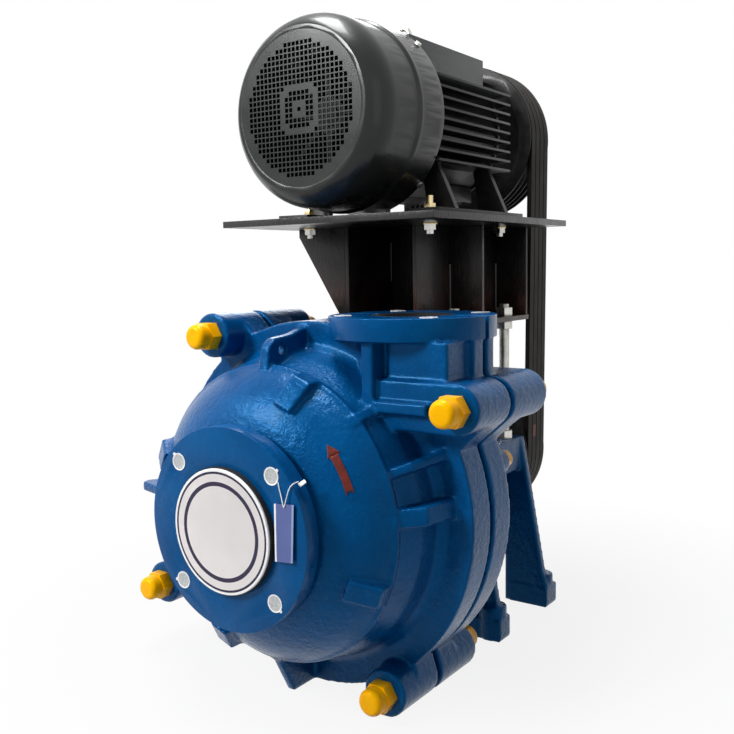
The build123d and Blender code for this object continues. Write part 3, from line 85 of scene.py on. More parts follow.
def startMaterial(name, roughness=0.5, metallic=0.0, coat=0.0, coatRoughness=0.1, specular=0.5, tint=None):
    material = bpy.data.materials.new(name)
    material.use_nodes = True
    tree = material.node_tree
    shader = tree.nodes["Principled BSDF"]
    shader.inputs["Roughness"].default_value = roughness
    shader.inputs["Metallic"].default_value = metallic
    shader.inputs["Coat Weight"].default_value = coat
    shader.inputs["Coat Roughness"].default_value = coatRoughness
    shader.inputs["Specular IOR Level"].default_value = specular
    if tint:
        shader.inputs["Specular Tint"].default_value = (*tint, 1.0)
    place = tree.nodes.new("ShaderNodeTexCoord").outputs["Object"]
    return material, tree, shader, place


def noise(tree, place, scale, detail=3.0, roughness=0.55, stretch=None):
    if stretch:
        mapping = tree.nodes.new("ShaderNodeMapping")
        mapping.inputs["Scale"].default_value = stretch
        tree.links.new(place, mapping.inputs["Vector"])
        place = mapping.outputs["Vector"]
    node = tree.nodes.new("ShaderNodeTexNoise")
    node.inputs["Scale"].default_value = scale
    node.inputs["Detail"].default_value = detail
    node.inputs["Roughness"].default_value = roughness
    tree.links.new(place, node.inputs["Vector"])
    return node.outputs["Fac"]


def spread(tree, value, low, high, outLow=0.0, outHigh=1.0):
    node = tree.nodes.new("ShaderNodeMapRange")
    for name, number in (("From Min", low), ("From Max", high), ("To Min", outLow), ("To Max", outHigh)):
        node.inputs[name].default_value = number
    tree.links.new(value, node.inputs["Value"])
    return node.outputs["Result"]


def mixColours(tree, factor, first, second):
    node = tree.nodes.new("ShaderNodeMix")
    node.data_type = "RGBA"
    tree.links.new(factor, node.inputs[0])
    for socket, colour in ((node.inputs[6], first), (node.inputs[7], second)):
        if isinstance(colour, (tuple, list)):
            socket.default_value = (*colour, 1.0)
        else:
            tree.links.new(colour, socket)
    return node.outputs[2]


def mixShaders(tree, factor, first, second, outputName):
    node = tree.nodes.new("ShaderNodeMixShader")
    for source, socket in zip((factor, first.outputs[0], second.outputs[0]), node.inputs):
        tree.links.new(source, socket)
    tree.links.new(node.outputs[0], tree.nodes[outputName].inputs["Surface"])


def reckon(tree, operation, first, second=0.0):
    node = tree.nodes.new("ShaderNodeMath")
    node.operation = operation
    for socket, value in zip(node.inputs, (first, second)):
        if isinstance(value, (int, float)):
            socket.default_value = value
        else:
            tree.links.new(value, socket)
    return node.outputs[0]


def bump(tree, shader, height, distance, strength=1.0):
    node = tree.nodes.new("ShaderNodeBump")
    node.inputs["Distance"].default_value = distance
    node.inputs["Strength"].default_value = strength
    tree.links.new(height, node.inputs["Height"])
    tree.links.new(node.outputs["Normal"], shader.inputs["Normal"])


def axes(tree, place):
    node = tree.nodes.new("ShaderNodeSeparateXYZ")
    tree.links.new(place, node.inputs[0])
    return node.outputs


def within(tree, value, low, high):
    above, below = reckon(tree, "GREATER_THAN", value, low), reckon(tree, "LESS_THAN", value, high)
    return reckon(tree, "MULTIPLY", above, below)


# glossy blue enamel brushed over sand castings, with painted glints speckled in paler blue over the sand; the
# machined flanges have less of the sand
enamelLook = {
    # the third, palest blue, speckled over the sand grain, is a painted glint on the orange peel
    "deep": (0.0, 0.050, 0.175), "bright": (0.0, 0.072, 0.230), "paintedGlint": (0.001, 0.105, 0.320),
    "patches": 11.0, "patchSpread": (0.34, 0.66), "sand": 300.0, "paintedGlintSpread": (0.60, 0.74), "paintedGlintShare": 0.45,
    "peel": 95.0, "relief": 0.001, "strength": 0.8, "roughness": 0.30, "glossToDull": (0.19, 0.32),
    "specular": 0.45, "tint": (0.03, 0.38, 0.85), "coat": 0.02, "coatRoughness": 0.10,
}
enamels = {
    "blueEnamel": {"sandDepth": 0.80, "peelDepth": 1.45},
    "flangeEnamel": {"sandDepth": 0.16, "peelDepth": 0.7},
}


def enamelMaterial(name, sandDepth, peelDepth):
    look = enamelLook
    material, tree, shader, place = startMaterial(
        name, look["roughness"], coat=look["coat"], coatRoughness=look["coatRoughness"],
        specular=look["specular"], tint=look["tint"])
    patches = spread(tree, noise(tree, place, look["patches"], detail=4, roughness=0.6), *look["patchSpread"])
    colour = mixColours(tree, patches, look["deep"], look["bright"])
    sand = noise(tree, place, look["sand"], detail=3, roughness=0.6)
    # paler blue on the sand grain: painted glints
    paintedGlint = spread(tree, sand, *look["paintedGlintSpread"], 0.0, look["paintedGlintShare"])
    colour = mixColours(tree, paintedGlint, colour, look["paintedGlint"])
    tree.links.new(colour, shader.inputs["Base Color"])
    peel = noise(tree, place, look["peel"], detail=2, roughness=0.5)
    height = reckon(tree, "ADD", reckon(tree, "MULTIPLY", peel, peelDepth),
                    reckon(tree, "MULTIPLY", sand, sandDepth))
    bump(tree, shader, height, look["relief"], look["strength"])
    tree.links.new(spread(tree, patches, 0.0, 1.0, *look["glossToDull"]), shader.inputs["Roughness"])
    return material


# black paint over flame-cut plate: brown shows through low down, and furrows run on the cut edges
plateLook = {
    "clouds": 22.0, "cloudSpread": (0.35, 0.7), "rust": 14.0, "rustSpread": (0.42, 0.60), "uprightBelow": 0.5,
    "furrows": 210.0, "furrowStretch": (1.0, 1.0, 0.25), "furrowDepth": 3.0, "fine": 260.0, "relief": 0.0006,
    "strength": 0.7, "roughnessSwing": 0.12, "coatRoughness": 0.22, "specular": 0.3,
}
paintedPlates = {
    "blackPlate": {"deep": (0.003, 0.003, 0.0035), "pale": (0.009, 0.009, 0.010), "rust": (0.055, 0.018, 0.009),
                   "rustHeights": (0.58, 0.70), "roughness": 0.42, "coat": 0.2},
    "topPlate": {"deep": (0.006, 0.006, 0.007), "pale": (0.016, 0.015, 0.014), "rust": (0.030, 0.018, 0.012),
                 "rustHeights": (0.60, 0.62), "roughness": 0.34, "coat": 0.35},
}


def paintedPlate(name, deep, pale, rust, rustHeights, roughness, coat):
    look = plateLook
    material, tree, shader, place = startMaterial(
        name, roughness, coat=coat, coatRoughness=look["coatRoughness"], specular=look["specular"])
    clouds = noise(tree, place, look["clouds"], detail=5, roughness=0.65)
    colour = mixColours(tree, spread(tree, clouds, *look["cloudSpread"]), deep, pale)
    low = spread(tree, axes(tree, place)[2], *rustHeights, 1.0, 0.0)
    patches = spread(tree, noise(tree, place, look["rust"], detail=5, roughness=0.7), *look["rustSpread"])
    colour = mixColours(tree, reckon(tree, "MULTIPLY", low, patches), colour, rust)
    tree.links.new(colour, shader.inputs["Base Color"])
    facing = tree.nodes.new("ShaderNodeTexCoord").outputs["Normal"]
    upright = reckon(tree, "LESS_THAN", reckon(tree, "ABSOLUTE", axes(tree, facing)[2]), look["uprightBelow"])
    furrows = noise(tree, place, look["furrows"], detail=3, roughness=0.7, stretch=look["furrowStretch"])
    furrows = reckon(tree, "MULTIPLY", furrows, reckon(tree, "MULTIPLY", upright, look["furrowDepth"]))
    height = reckon(tree, "ADD", furrows, noise(tree, place, look["fine"], detail=3, roughness=0.6))
    bump(tree, shader, reckon(tree, "ADD", height, clouds), look["relief"], look["strength"])
    smoother, rougher = roughness - look["roughnessSwing"], roughness + look["roughnessSwing"]
    tree.links.new(spread(tree, clouds, 0.3, 0.7, smoother, rougher), shader.inputs["Roughness"])
    return material


# two close colours in clouds over a fine grain: scale is that of the clouds, depth that of the grain
plainFinishes = {
    "linerIron": {"base": (0.16, 0.16, 0.165), "second": (0.24, 0.235, 0.23), "roughness": 0.55, "metallic": 0.7},
    "blackRubber": {"base": (0.008, 0.008, 0.009), "second": (0.016, 0.016, 0.017), "roughness": 0.62,
                    "depth": 0.0003, "specular": 0.3},
    "beltRubber": {"base": (0.009, 0.0075, 0.0065), "second": (0.018, 0.015, 0.013), "roughness": 0.55,
                   "scale": 24.0, "grain": 300.0, "depth": 0.0003, "specular": 0.12},
    "yellowCap": {"base": (1.0, 0.43, 0.0), "second": (1.0, 0.50, 0.0), "roughness": 0.30, "scale": 26.0,
                  "grain": 160.0, "depth": 0.0003, "specular": 0.4, "tint": (1.0, 0.65, 0.10)},
    "zincSteel": {"base": (0.50, 0.49, 0.46), "second": (0.68, 0.67, 0.63), "roughness": 0.32, "metallic": 1.0},
    "turnedSteel": {"base": (0.45, 0.45, 0.46), "second": (0.58, 0.58, 0.58), "roughness": 0.26, "metallic": 1.0,
                    "scale": 60.0, "grain": 900.0, "depth": 0.00008, "stretch": (1.0, 8.0, 1.0)},
    "packingYarn": {"base": (0.50, 0.47, 0.38), "second": (0.62, 0.58, 0.48), "roughness": 0.85, "depth": 0.0006},
    "bronze": {"base": (0.42, 0.24, 0.08), "second": (0.55, 0.33, 0.12), "roughness": 0.34, "metallic": 1.0},
    "motorPaint": {"base": (0.0105, 0.0125, 0.0118), "second": (0.0150, 0.0172, 0.0162), "roughness": 0.30,
                   "metallic": 0.15, "scale": 12.0, "grain": 600.0, "depth": 0.00012, "coat": 0.22,
                   "specular": 0.25},
    "motorCasting": {"base": (0.0085, 0.0095, 0.0090), "second": (0.0165, 0.0175, 0.0160), "roughness": 0.40,
                     "metallic": 0.1, "scale": 18.0, "grain": 260.0, "depth": 0.0004, "coat": 0.10,
                     "specular": 0.3},
    # grey for the motor's black lifting pad: a painted reflection
    "padPaintedReflection": {"base": (0.060, 0.064, 0.066), "second": (0.115, 0.120, 0.123), "roughness": 0.36, "scale": 14.0,
                 "grain": 300.0, "depth": 0.0003, "stretch": (1.0, 1.0, 6.0), "specular": 0.3},
    "motorPlastic": {"base": (0.006, 0.006, 0.007), "second": (0.012, 0.012, 0.012), "roughness": 0.5,
                     "specular": 0.3},
    "coreSteel": {"base": (0.14, 0.13, 0.12), "second": (0.22, 0.20, 0.18), "roughness": 0.5, "metallic": 0.8},
    "pulleyIron": {"base": (0.009, 0.009, 0.010), "second": (0.020, 0.019, 0.018), "roughness": 0.42,
                   "metallic": 0.3, "coat": 0.15, "specular": 0.3},
    "yellowZinc": {"base": (0.62, 0.50, 0.26), "second": (0.74, 0.62, 0.36), "roughness": 0.30, "metallic": 1.0},
    "weldBead": {"base": (0.006, 0.006, 0.006), "second": (0.022, 0.021, 0.020), "roughness": 0.34,
                 "metallic": 0.1, "scale": 60.0, "grain": 500.0, "depth": 0.0004, "coat": 0.2, "specular": 0.3},
    "redMark": {"base": (0.085, 0.008, 0.004), "second": (0.170, 0.018, 0.008), "roughness": 0.48, "scale": 90.0,
                "grain": 420.0, "depth": 0.0005, "specular": 0.3},
    "whiteNylon": {"base": (0.82, 0.83, 0.84), "second": (0.88, 0.88, 0.88), "roughness": 0.35, "coat": 0.2},
    "clearFilm": {"base": (0.40, 0.42, 0.42), "second": (0.52, 0.54, 0.54), "roughness": 0.28, "scale": 260.0,
                  "grain": 500.0, "depth": 0.0004, "coat": 0.3},
    "tagCard": {"base": (0.075, 0.105, 0.300), "second": (0.090, 0.122, 0.330), "roughness": 0.42, "scale": 30.0,
                "grain": 500.0, "depth": 0.0001},
    # paler blue of the tag's right border: a painted highlight
    "tagPaintedHighlight": {"base": (0.25, 0.32, 0.56), "second": (0.29, 0.36, 0.60), "roughness": 0.42, "scale": 30.0,
                "grain": 500.0, "depth": 0.0001},
}


def plainFinish(name, base, second, roughness, metallic=0.0, scale=40.0, grain=420.0, depth=0.0002,
                stretch=None, coat=0.0, specular=0.5, tint=None):
    material, tree, shader, place = startMaterial(
        name, roughness, metallic, coat, coatRoughness=0.12, specular=specular, tint=tint)
    clouds = noise(tree, place, scale, detail=4, roughness=0.6, stretch=stretch)
    tree.links.new(mixColours(tree, spread(tree, clouds, 0.35, 0.65), base, second), shader.inputs["Base Color"])
    bump(tree, shader, noise(tree, place, grain, detail=3, roughness=0.6, stretch=stretch), depth, strength=0.6)
    smoother, rougher = max(roughness - 0.07, 0.05), roughness + 0.08
    tree.links.new(spread(tree, clouds, 0.3, 0.7, smoother, rougher), shader.inputs["Roughness"])
    return material


# warm white film with two plain dark rings
discLook = {
    "film": (0.75, 0.710, 0.700), "shade": (0.66, 0.630, 0.625), "edge": (0.88, 0.88, 0.88),
    "ink": (0.012, 0.005, 0.040), "edgeRadius": 0.0893, "rings": ((0.0858, 0.0893), (0.0680, 0.0744)),
    "clouds": 9.0, "waves": 30.0, "relief": 0.0003, "strength": 0.3, "roughness": 0.26, "coat": 0.25,
    "coatRoughness": 0.08, "specular": 0.3,
}


def discMaterial(name):
    look = discLook
    material, tree, shader, place = startMaterial(
        name, look["roughness"], coat=look["coat"], coatRoughness=look["coatRoughness"],
        specular=look["specular"])
    x, y, z = axes(tree, place)
    z = reckon(tree, "SUBTRACT", z, pumpAxisZ)
    squares = [reckon(tree, "MULTIPLY", value, value) for value in (x, z)]
    radius = reckon(tree, "SQRT", reckon(tree, "ADD", *squares))
    outer, inner = [within(tree, radius, low, high) for low, high in look["rings"]]
    clouds = spread(tree, noise(tree, place, look["clouds"], detail=3, roughness=0.5), 0.35, 0.7)
    film = mixColours(tree, clouds, look["film"], look["shade"])
    film = mixColours(tree, reckon(tree, "GREATER_THAN", radius, look["edgeRadius"]), film, look["edge"])
    film = mixColours(tree, reckon(tree, "MAXIMUM", outer, inner), film, look["ink"])
    tree.links.new(film, shader.inputs["Base Color"])
    waves = noise(tree, place, look["waves"], detail=2, roughness=0.5)
    bump(tree, shader, waves, look["relief"], look["strength"])
    return material


materials = {"whiteDisc": discMaterial("whiteDisc")}
for make, looks in ((enamelMaterial, enamels), (paintedPlate, paintedPlates), (plainFinish, plainFinishes)):
    for name, look in looks.items():
        materials[name] = make(name, **look)
slotMaterials = {
    "blue_casting": "blueEnamel", "liner_iron": "linerIron", "black_rubber": "blackRubber",
    "white_disc": "whiteDisc", "yellow_cap": "yellowCap", "zinc_steel": "zincSteel",
    "turned_steel": "turnedSteel", "packing_yarn": "packingYarn", "bronze": "bronze",
    "black_plate": "blackPlate", "motor_paint": "motorPaint", "motor_plastic": "motorPlastic",
    "core_steel": "coreSteel", "pulley_iron": "pulleyIron", "yellow_zinc": "yellowZinc",
}
slotOf = {subpart["node"]: subpart["material_slot"] for subpart in frame["record"]["subparts"]}
for nodeName, slotName in slotOf.items():
    dress(nodes[nodeName], slotMaterials[slotName])
    only(nodes[nodeName])
    bpy.ops.object.shade_smooth_by_angle(angle=radians(smoothAngle))
print("materials made:", len(materials))


# copies of CAD nodes, worked further

def mergedCopy(nodeName, pieceName):
    piece = bpy.data.objects.new(pieceName, nodes[nodeName].data.copy())
    bpy.context.scene.collection.objects.link(piece)
    only(piece)
    if piece.data.has_custom_normals:
        bpy.ops.mesh.customdata_custom_splitnormals_clear()
    bpy.ops.object.mode_set(mode="EDIT")
    bpy.ops.mesh.select_all(action="SELECT")
    bpy.ops.mesh.remove_doubles(threshold=mergeDistance)
    bpy.ops.object.mode_set(mode="OBJECT")
    return piece


def standFor(piece, nodeName, material=None):
    dress(piece, material or slotMaterials[slotOf[nodeName]])
    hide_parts(nodeName)
    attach(piece, bodyOf(nodeName))


def breakEdges(piece, width, segments=2, sharp=smoothAngle):
    bevel = piece.modifiers.new("edges", "BEVEL")
    bevel.width = width
    bevel.segments = segments
    bevel.limit_method = "ANGLE"
    bevel.angle_limit = radians(sharp)
    applyAll(piece)
    bpy.ops.object.shade_smooth_by_angle(angle=radians(sharp))


# node: piece, voxel size, rounds of smoothing
castings = {
    "cover_plate": ("coverCasting", 0.0028, 5), "frame_plate": ("frameCasting", 0.0030, 5),
    "pump_frame": ("footCasting", 0.0030, 4), "bearing_housing": ("bearingCasting", 0.0026, 3),
}
castingLook = {"faceLimit": 95000, "smoothing": 0.5, "quickVoxels": 2.0, "quickRounds": 2}


def castCopy(nodeName, pieceName, voxel, rounds):
    # rounded corners and fillets of a sand casting
    piece = mergedCopy(nodeName, pieceName)
    remesh = piece.modifiers.new("skin", "REMESH")
    remesh.mode = "VOXEL"
    remesh.voxel_size = voxel
    smooth = piece.modifiers.new("fillets", "SMOOTH")
    smooth.factor = castingLook["smoothing"]
    smooth.iterations = rounds
    applyAll(piece)
    faces = len(piece.data.polygons)
    if faces > castingLook["faceLimit"]:
        thinner = piece.modifiers.new("thinner", "DECIMATE")
        thinner.ratio = castingLook["faceLimit"] / faces
        applyAll(piece)
    bpy.ops.object.shade_smooth()
    standFor(piece, nodeName)
    print(pieceName, "faces", faces, "kept", len(piece.data.polygons))


for nodeName, (pieceName, voxel, rounds) in castings.items():
    castCopy(nodeName, pieceName, voxel, rounds)

# node: piece, width of the broken edges, material where it isn't the slot's
edged = {
    "cover_nuts": ("coverNuts", 0.0012, None), "motor_plate": ("motorPlatePiece", 0.0010, "topPlate"),
    "stool_base_plate": ("stoolBase", 0.0010, None), "stool_side_plates": ("stoolSides", 0.0010, None),
    "stool_ribs": ("stoolRibs", 0.0010, None), "platform_nuts": ("platformNuts", 0.0010, None),
    "rod_base_nuts": ("rodBaseNuts", 0.0010, None), "motor_housing": ("motorBody", 0.0009, "motorCasting"),
    "motor_fan_end_shield": ("fanEndShield", 0.0012, "motorCasting"),
    "motor_drive_end_shield": ("driveEndShield", 0.0012, "motorCasting"),
    "fan_cover": ("fanShroud", 0.0008, None), "terminal_box": ("terminalCasting", 0.0015, "motorCasting"),
    "terminal_box_lid": ("terminalLid", 0.0015, "motorCasting"), "motor_foot_bolts": ("footBolts", 0.0006, None),
    "motor_pulley": ("motorPulley", 0.0006, None), "pump_pulley": ("pumpPulley", 0.0006, None),
    "bearing_end_covers": ("endCovers", 0.0012, None), "clamp_bolts": ("clampBolts", 0.0008, None),
    "gland": ("glandFollower", 0.0010, None), "thread_caps": ("boltCaps", 0.0011, None),
}


def edgedCopy(nodeName, pieceName, width, material):
    # machined or flame-cut piece: its facets are joined into faces first
    piece = mergedCopy(nodeName, pieceName)
    bpy.ops.object.mode_set(mode="EDIT")
    bpy.ops.mesh.select_all(action="SELECT")
    bpy.ops.mesh.dissolve_limited(angle_limit=radians(1.0))
    bpy.ops.object.mode_set(mode="OBJECT")
    breakEdges(piece, width)
    standFor(piece, nodeName, material)


for nodeName, (pieceName, width, material) in edged.items():
    edgedCopy(nodeName, pieceName, width, material)

# zinc nuts under the plate and brass ones on the feet; grey on the black lifting pad as a painted reflection; a
# dull shaft end behind the fan
division = {"nutsBelow": 0.7475, "padAbove": 0.980, "padHalfWidth": 0.130, "shaftEndY": splitY + 0.070}


def secondMaterial(piece, name, test):
    piece.data.materials.append(materials[name])
    for polygon in piece.data.polygons:
        polygon.material_index = int(test(polygon.center))


secondMaterial(bpy.data.objects["footBolts"], "zincSteel", lambda centre: centre.z < division["nutsBelow"])
# the lifting pad takes the grey of a painted reflection
secondMaterial(bpy.data.objects["motorBody"], "padPaintedReflection",
               lambda centre: centre.z > division["padAbove"] and abs(centre.x) < division["padHalfWidth"])
secondMaterial(nodes["motor_shaft"], "motorPlastic", lambda centre: centre.y < division["shaftEndY"])
print("castings and worked pieces made")

# belts stretch between the pump and the platform that carries the motor
belts = mergedCopy("v_belts", "driveBelts")
bpy.ops.object.shade_smooth_by_angle(angle=radians(smoothAngle))
dress(belts, "beltRubber")
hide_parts("v_belts")
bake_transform(belts)


# new pieces

facingFront = (pi / 2, 0.0, 0.0)
quarters = [radians(angle) for angle in (45, 135, 225, 315)]
wrapGap = 0.0002  # between a laid-on piece and the surface under it


def settle(piece, name):
    # the place goes into the mesh, as on a CAD node
    piece.name = name
    only(piece)
    bpy.ops.object.transform_apply(location=True, rotation=True, scale=True)
    return piece


def cylinder(name, place, radius, depth, turn=(0.0, 0.0, 0.0), sides=48):
    bpy.ops.mesh.primitive_cylinder_add(vertices=sides, radius=radius, depth=depth, location=place,
                                        rotation=turn)
    return settle(bpy.context.active_object, name)


def pickFaces(piece, test):
    # leaves edit mode on, with only the faces that pass selected
    only(piece)
    bpy.ops.object.mode_set(mode="EDIT")
    bpy.ops.mesh.select_mode(type="FACE")
    bpy.ops.mesh.select_all(action="DESELECT")
    bpy.ops.object.mode_set(mode="OBJECT")
    for polygon in piece.data.polygons:
        polygon.select = test(polygon.center, polygon.normal)
    bpy.ops.object.mode_set(mode="EDIT")


def cut(piece, tools):
    for tool in tools:
        boolean = piece.modifiers.new("cut", "BOOLEAN")
        boolean.operation = "DIFFERENCE"
        boolean.solver = "EXACT"
        boolean.object = tool
    applyAll(piece)
    for tool in tools:
        bpy.data.objects.remove(tool)


def thicken(piece, thickness, offset=-1.0):
    wall = piece.modifiers.new("wall", "SOLIDIFY")
    wall.thickness = thickness
    wall.offset = offset
    applyAll(piece)


def layOn(piece, target, axis, bothWays, thickness):
    # pressed along x or y onto the target, then made as thick as it stands out
    wrap = piece.modifiers.new("wrap", "SHRINKWRAP")
    wrap.target = target
    wrap.wrap_method = "PROJECT"
    wrap.use_project_x, wrap.use_project_y = axis == "x", axis == "y"
    wrap.use_negative_direction = bothWays
    wrap.use_positive_direction = True
    wrap.offset = wrapGap
    thicken(piece, thickness)


def join(name, pieces):
    only(pieces[0])
    for piece in pieces[1:]:
        piece.select_set(True)
    bpy.ops.object.join()
    pieces[0].name = name
    return pieces[0]


def put(piece, body, slotName, *names):
    if names:
        dress(piece, *names)
    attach(piece, body)


# turned faces of both flanges, crisp over the softer castings
flangeLook = {
    "radius": 0.1529, "thick": 0.0264, "bore": 0.0918, "holes": 0.130, "holeRadius": 0.011,
    "topRadius": 0.1294, "topThick": 0.0332, "topBore": 0.0652, "topHoles": 0.1075, "topHoleRadius": 0.0095,
    "splitGap": 0.0100, "splitWidth": 0.4, "proud": 0.0005, "edge": 0.0018, "toolDepth": 0.1,
    "sides": 128, "boreSides": 96, "holeSides": 32,
}


def suctionSpot(angle, y):  # on the circle of the flange's holes
    circle = flangeLook["holes"]
    return circle * cos(angle), y, pumpAxisZ + circle * sin(angle)


def dischargeSpot(angle, z):
    circle = flangeLook["topHoles"]
    return dischargeX + circle * cos(angle), splitY + circle * sin(angle), z


def finishFlange(ring, tools):
    cut(ring, tools)
    breakEdges(ring, flangeLook["edge"], 3)
    put(ring, "root", "blue_casting", "flangeEnamel")


def suctionFlange():
    look = flangeLook
    place = (0.0, suctionFaceY + look["thick"] / 2 - look["proud"], pumpAxisZ)
    ring = cylinder("suctionFlangeRing", place, look["radius"], look["thick"], facingFront, look["sides"])
    tools = [cylinder("tool", place, look["bore"], look["toolDepth"], facingFront, look["boreSides"])]
    for angle in quarters:
        tools.append(cylinder("tool", suctionSpot(angle, place[1]), look["holeRadius"], look["toolDepth"],
                              facingFront, look["holeSides"]))
    finishFlange(ring, tools)


def dischargeFlange():
    look = flangeLook
    place = (dischargeX, splitY, dischargeTopZ - look["topThick"] / 2 + look["proud"])
    ring = cylinder("dischargeFlangeRing", place, look["topRadius"], look["topThick"], sides=look["sides"])
    tools = [cylinder("tool", place, look["topBore"], look["toolDepth"], sides=look["boreSides"])]
    for angle in quarters:
        tools.append(cylinder("tool", dischargeSpot(angle, place[2]), look["topHoleRadius"], look["toolDepth"],
                              sides=look["holeSides"]))
    bpy.ops.mesh.primitive_cube_add(size=1.0, location=place,
                                    scale=(look["splitWidth"], look["splitGap"], look["toolDepth"]))
    tools.append(settle(bpy.context.active_object, "tool"))
    finishFlange(ring, tools)


suctionFlange()
dischargeFlange()

# clear shipping plugs in the flange holes: a raised white rim, a clear middle and a pull tab
plugLook = {
    "radius": 0.0133, "thick": 0.0011, "rim": 0.0022, "sink": 0.0006, "tab": 0.0026, "tabOut": 0.0142,
    "tabAngles": (40, 130, 185, 320), "edge": 0.0002, "sides": 40, "tabSides": 20,
}


def plug(name, place, turn, tabAngle):
    look = plugLook
    top = cylinder(name, (0, 0, look["thick"] / 2), look["radius"], look["thick"], sides=look["sides"])
    pickFaces(top, lambda centre, normal: normal.z > 0.9)
    bpy.ops.mesh.inset(thickness=look["rim"])
    bpy.ops.transform.translate(value=(0, 0, -look["sink"]))
    bpy.ops.object.mode_set(mode="OBJECT")
    dress(top, "whiteNylon", "clearFilm")
    for polygon in top.data.polygons:
        polygon.material_index = int(polygon.select)
    tabPlace = (look["tabOut"] * cos(tabAngle), look["tabOut"] * sin(tabAngle), look["thick"] / 2)
    tab = cylinder("tab", tabPlace, look["tab"], look["thick"], sides=look["tabSides"])
    dress(tab, "whiteNylon")
    piece = join(name, [top, tab])
    piece.matrix_world = Matrix.Translation(place) @ Matrix.Rotation(turn, 4, "X")
    settle(piece, name)
    breakEdges(piece, look["edge"], 1)
    put(piece, "root", "white_disc")


for index, (angle, tabAngle) in enumerate(zip(quarters, map(radians, plugLook["tabAngles"]))):
    plug(f"suctionPlug{index}", suctionSpot(angle, suctionFaceY - flangeLook["proud"]), pi / 2, tabAngle)
    plug(f"dischargePlug{index}", dischargeSpot(angle, dischargeTopZ + flangeLook["proud"]), 0.0, tabAngle)
print("flanges and plugs made")

# pressed grille of the fan cover: a grid of small square holes, with a square ring and a middle left whole
grilleLook = {
    "pitch": 0.0083, "cells": 27, "bar": 0.0010, "holes": 0.1075, "ringCell": 4, "outer": 0.1196, "sides": 128,
    "face": splitY - 0.056, "thick": 0.0016, "trim": 0.75, "borderLift": 0.0001, "borderLap": 0.0005,
}


def fanGrille():
    look = grilleLook
    bpy.ops.mesh.primitive_grid_add(x_subdivisions=look["cells"], y_subdivisions=look["cells"],
                                    size=look["cells"] * look["pitch"])
    screen = settle(bpy.context.active_object, "grilleScreen")

    def pierced(centre, normal):
        columns, rows = round(abs(centre.x) / look["pitch"]), round(abs(centre.y) / look["pitch"])
        near, far = sorted((columns, rows))
        onRing = far == look["ringCell"] and near < far or far == near == look["ringCell"] - 1
        return centre.xy.length < look["holes"] - look["pitch"] / 2 and not onRing and far != 1

    pickFaces(screen, pierced)
    bpy.ops.mesh.inset(thickness=look["bar"], use_individual=True)
    bpy.ops.mesh.delete(type="FACE")
    bpy.ops.object.mode_set(mode="OBJECT")
    trimRadius = look["outer"] - look["pitch"] * look["trim"]
    pickFaces(screen, lambda centre, normal: centre.xy.length > trimRadius)
    bpy.ops.mesh.delete(type="FACE")
    bpy.ops.object.mode_set(mode="OBJECT")

    bpy.ops.mesh.primitive_circle_add(vertices=look["sides"], radius=look["outer"], fill_type="NGON",
                                      location=(0, 0, look["borderLift"]))
    border = settle(bpy.context.active_object, "grilleBorder")
    pickFaces(border, lambda centre, normal: True)
    bpy.ops.mesh.inset(thickness=look["outer"] - look["holes"] - look["borderLap"])
    bpy.ops.mesh.delete(type="FACE")
    bpy.ops.object.mode_set(mode="OBJECT")
    piece = join("fanGrille", [screen, border])
    thicken(piece, look["thick"])
    piece.matrix_world = Matrix.Translation((0, look["face"], motorAxisZ)) @ Matrix.Rotation(pi / 2, 4, "X")
    settle(piece, "fanGrille")
    bpy.ops.object.shade_smooth_by_angle(angle=radians(smoothAngle))
    dress(piece, "motorPaint")
    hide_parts("fan_grille")
    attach(piece, "motor_platform")


fanGrille()

# cooling fan with a back plate that nearly fills its cover: the rim of the solid's plate is moved out
fanLook = {"rimInside": 0.0985, "rimOutside": 0.1005, "rimY": splitY + 0.0715, "newRadius": 0.1320}


def coolingFan():
    look = fanLook
    fan = mergedCopy("cooling_fan", "coolingFan")
    for vertex in fan.data.vertices:
        x, z = vertex.co.x, vertex.co.z - motorAxisZ
        radius = (x * x + z * z) ** 0.5
        if look["rimInside"] < radius < look["rimOutside"] and vertex.co.y > look["rimY"]:
            share = look["newRadius"] / radius
            vertex.co.x, vertex.co.z = x * share, motorAxisZ + z * share
    bpy.ops.object.shade_smooth_by_angle(angle=radians(smoothAngle))
    standFor(fan, "cooling_fan")


coolingFan()

# threaded rods between the pump frame and the motor stool; flank and flat are shares of the pitch
rodLook = {
    "root": 0.0091, "crest": 0.0100, "pitch": 0.0025, "flank": 0.44, "flat": 0.12, "steps": 16,
    "low": 0.3135, "high": 0.6035, "x": (-0.120, 0.120), "behind": (0.215, 0.409),
    "merge": 0.00001, "coreLap": 0.00005, "coreSides": 32, "smoothAngle": 25.0,
}


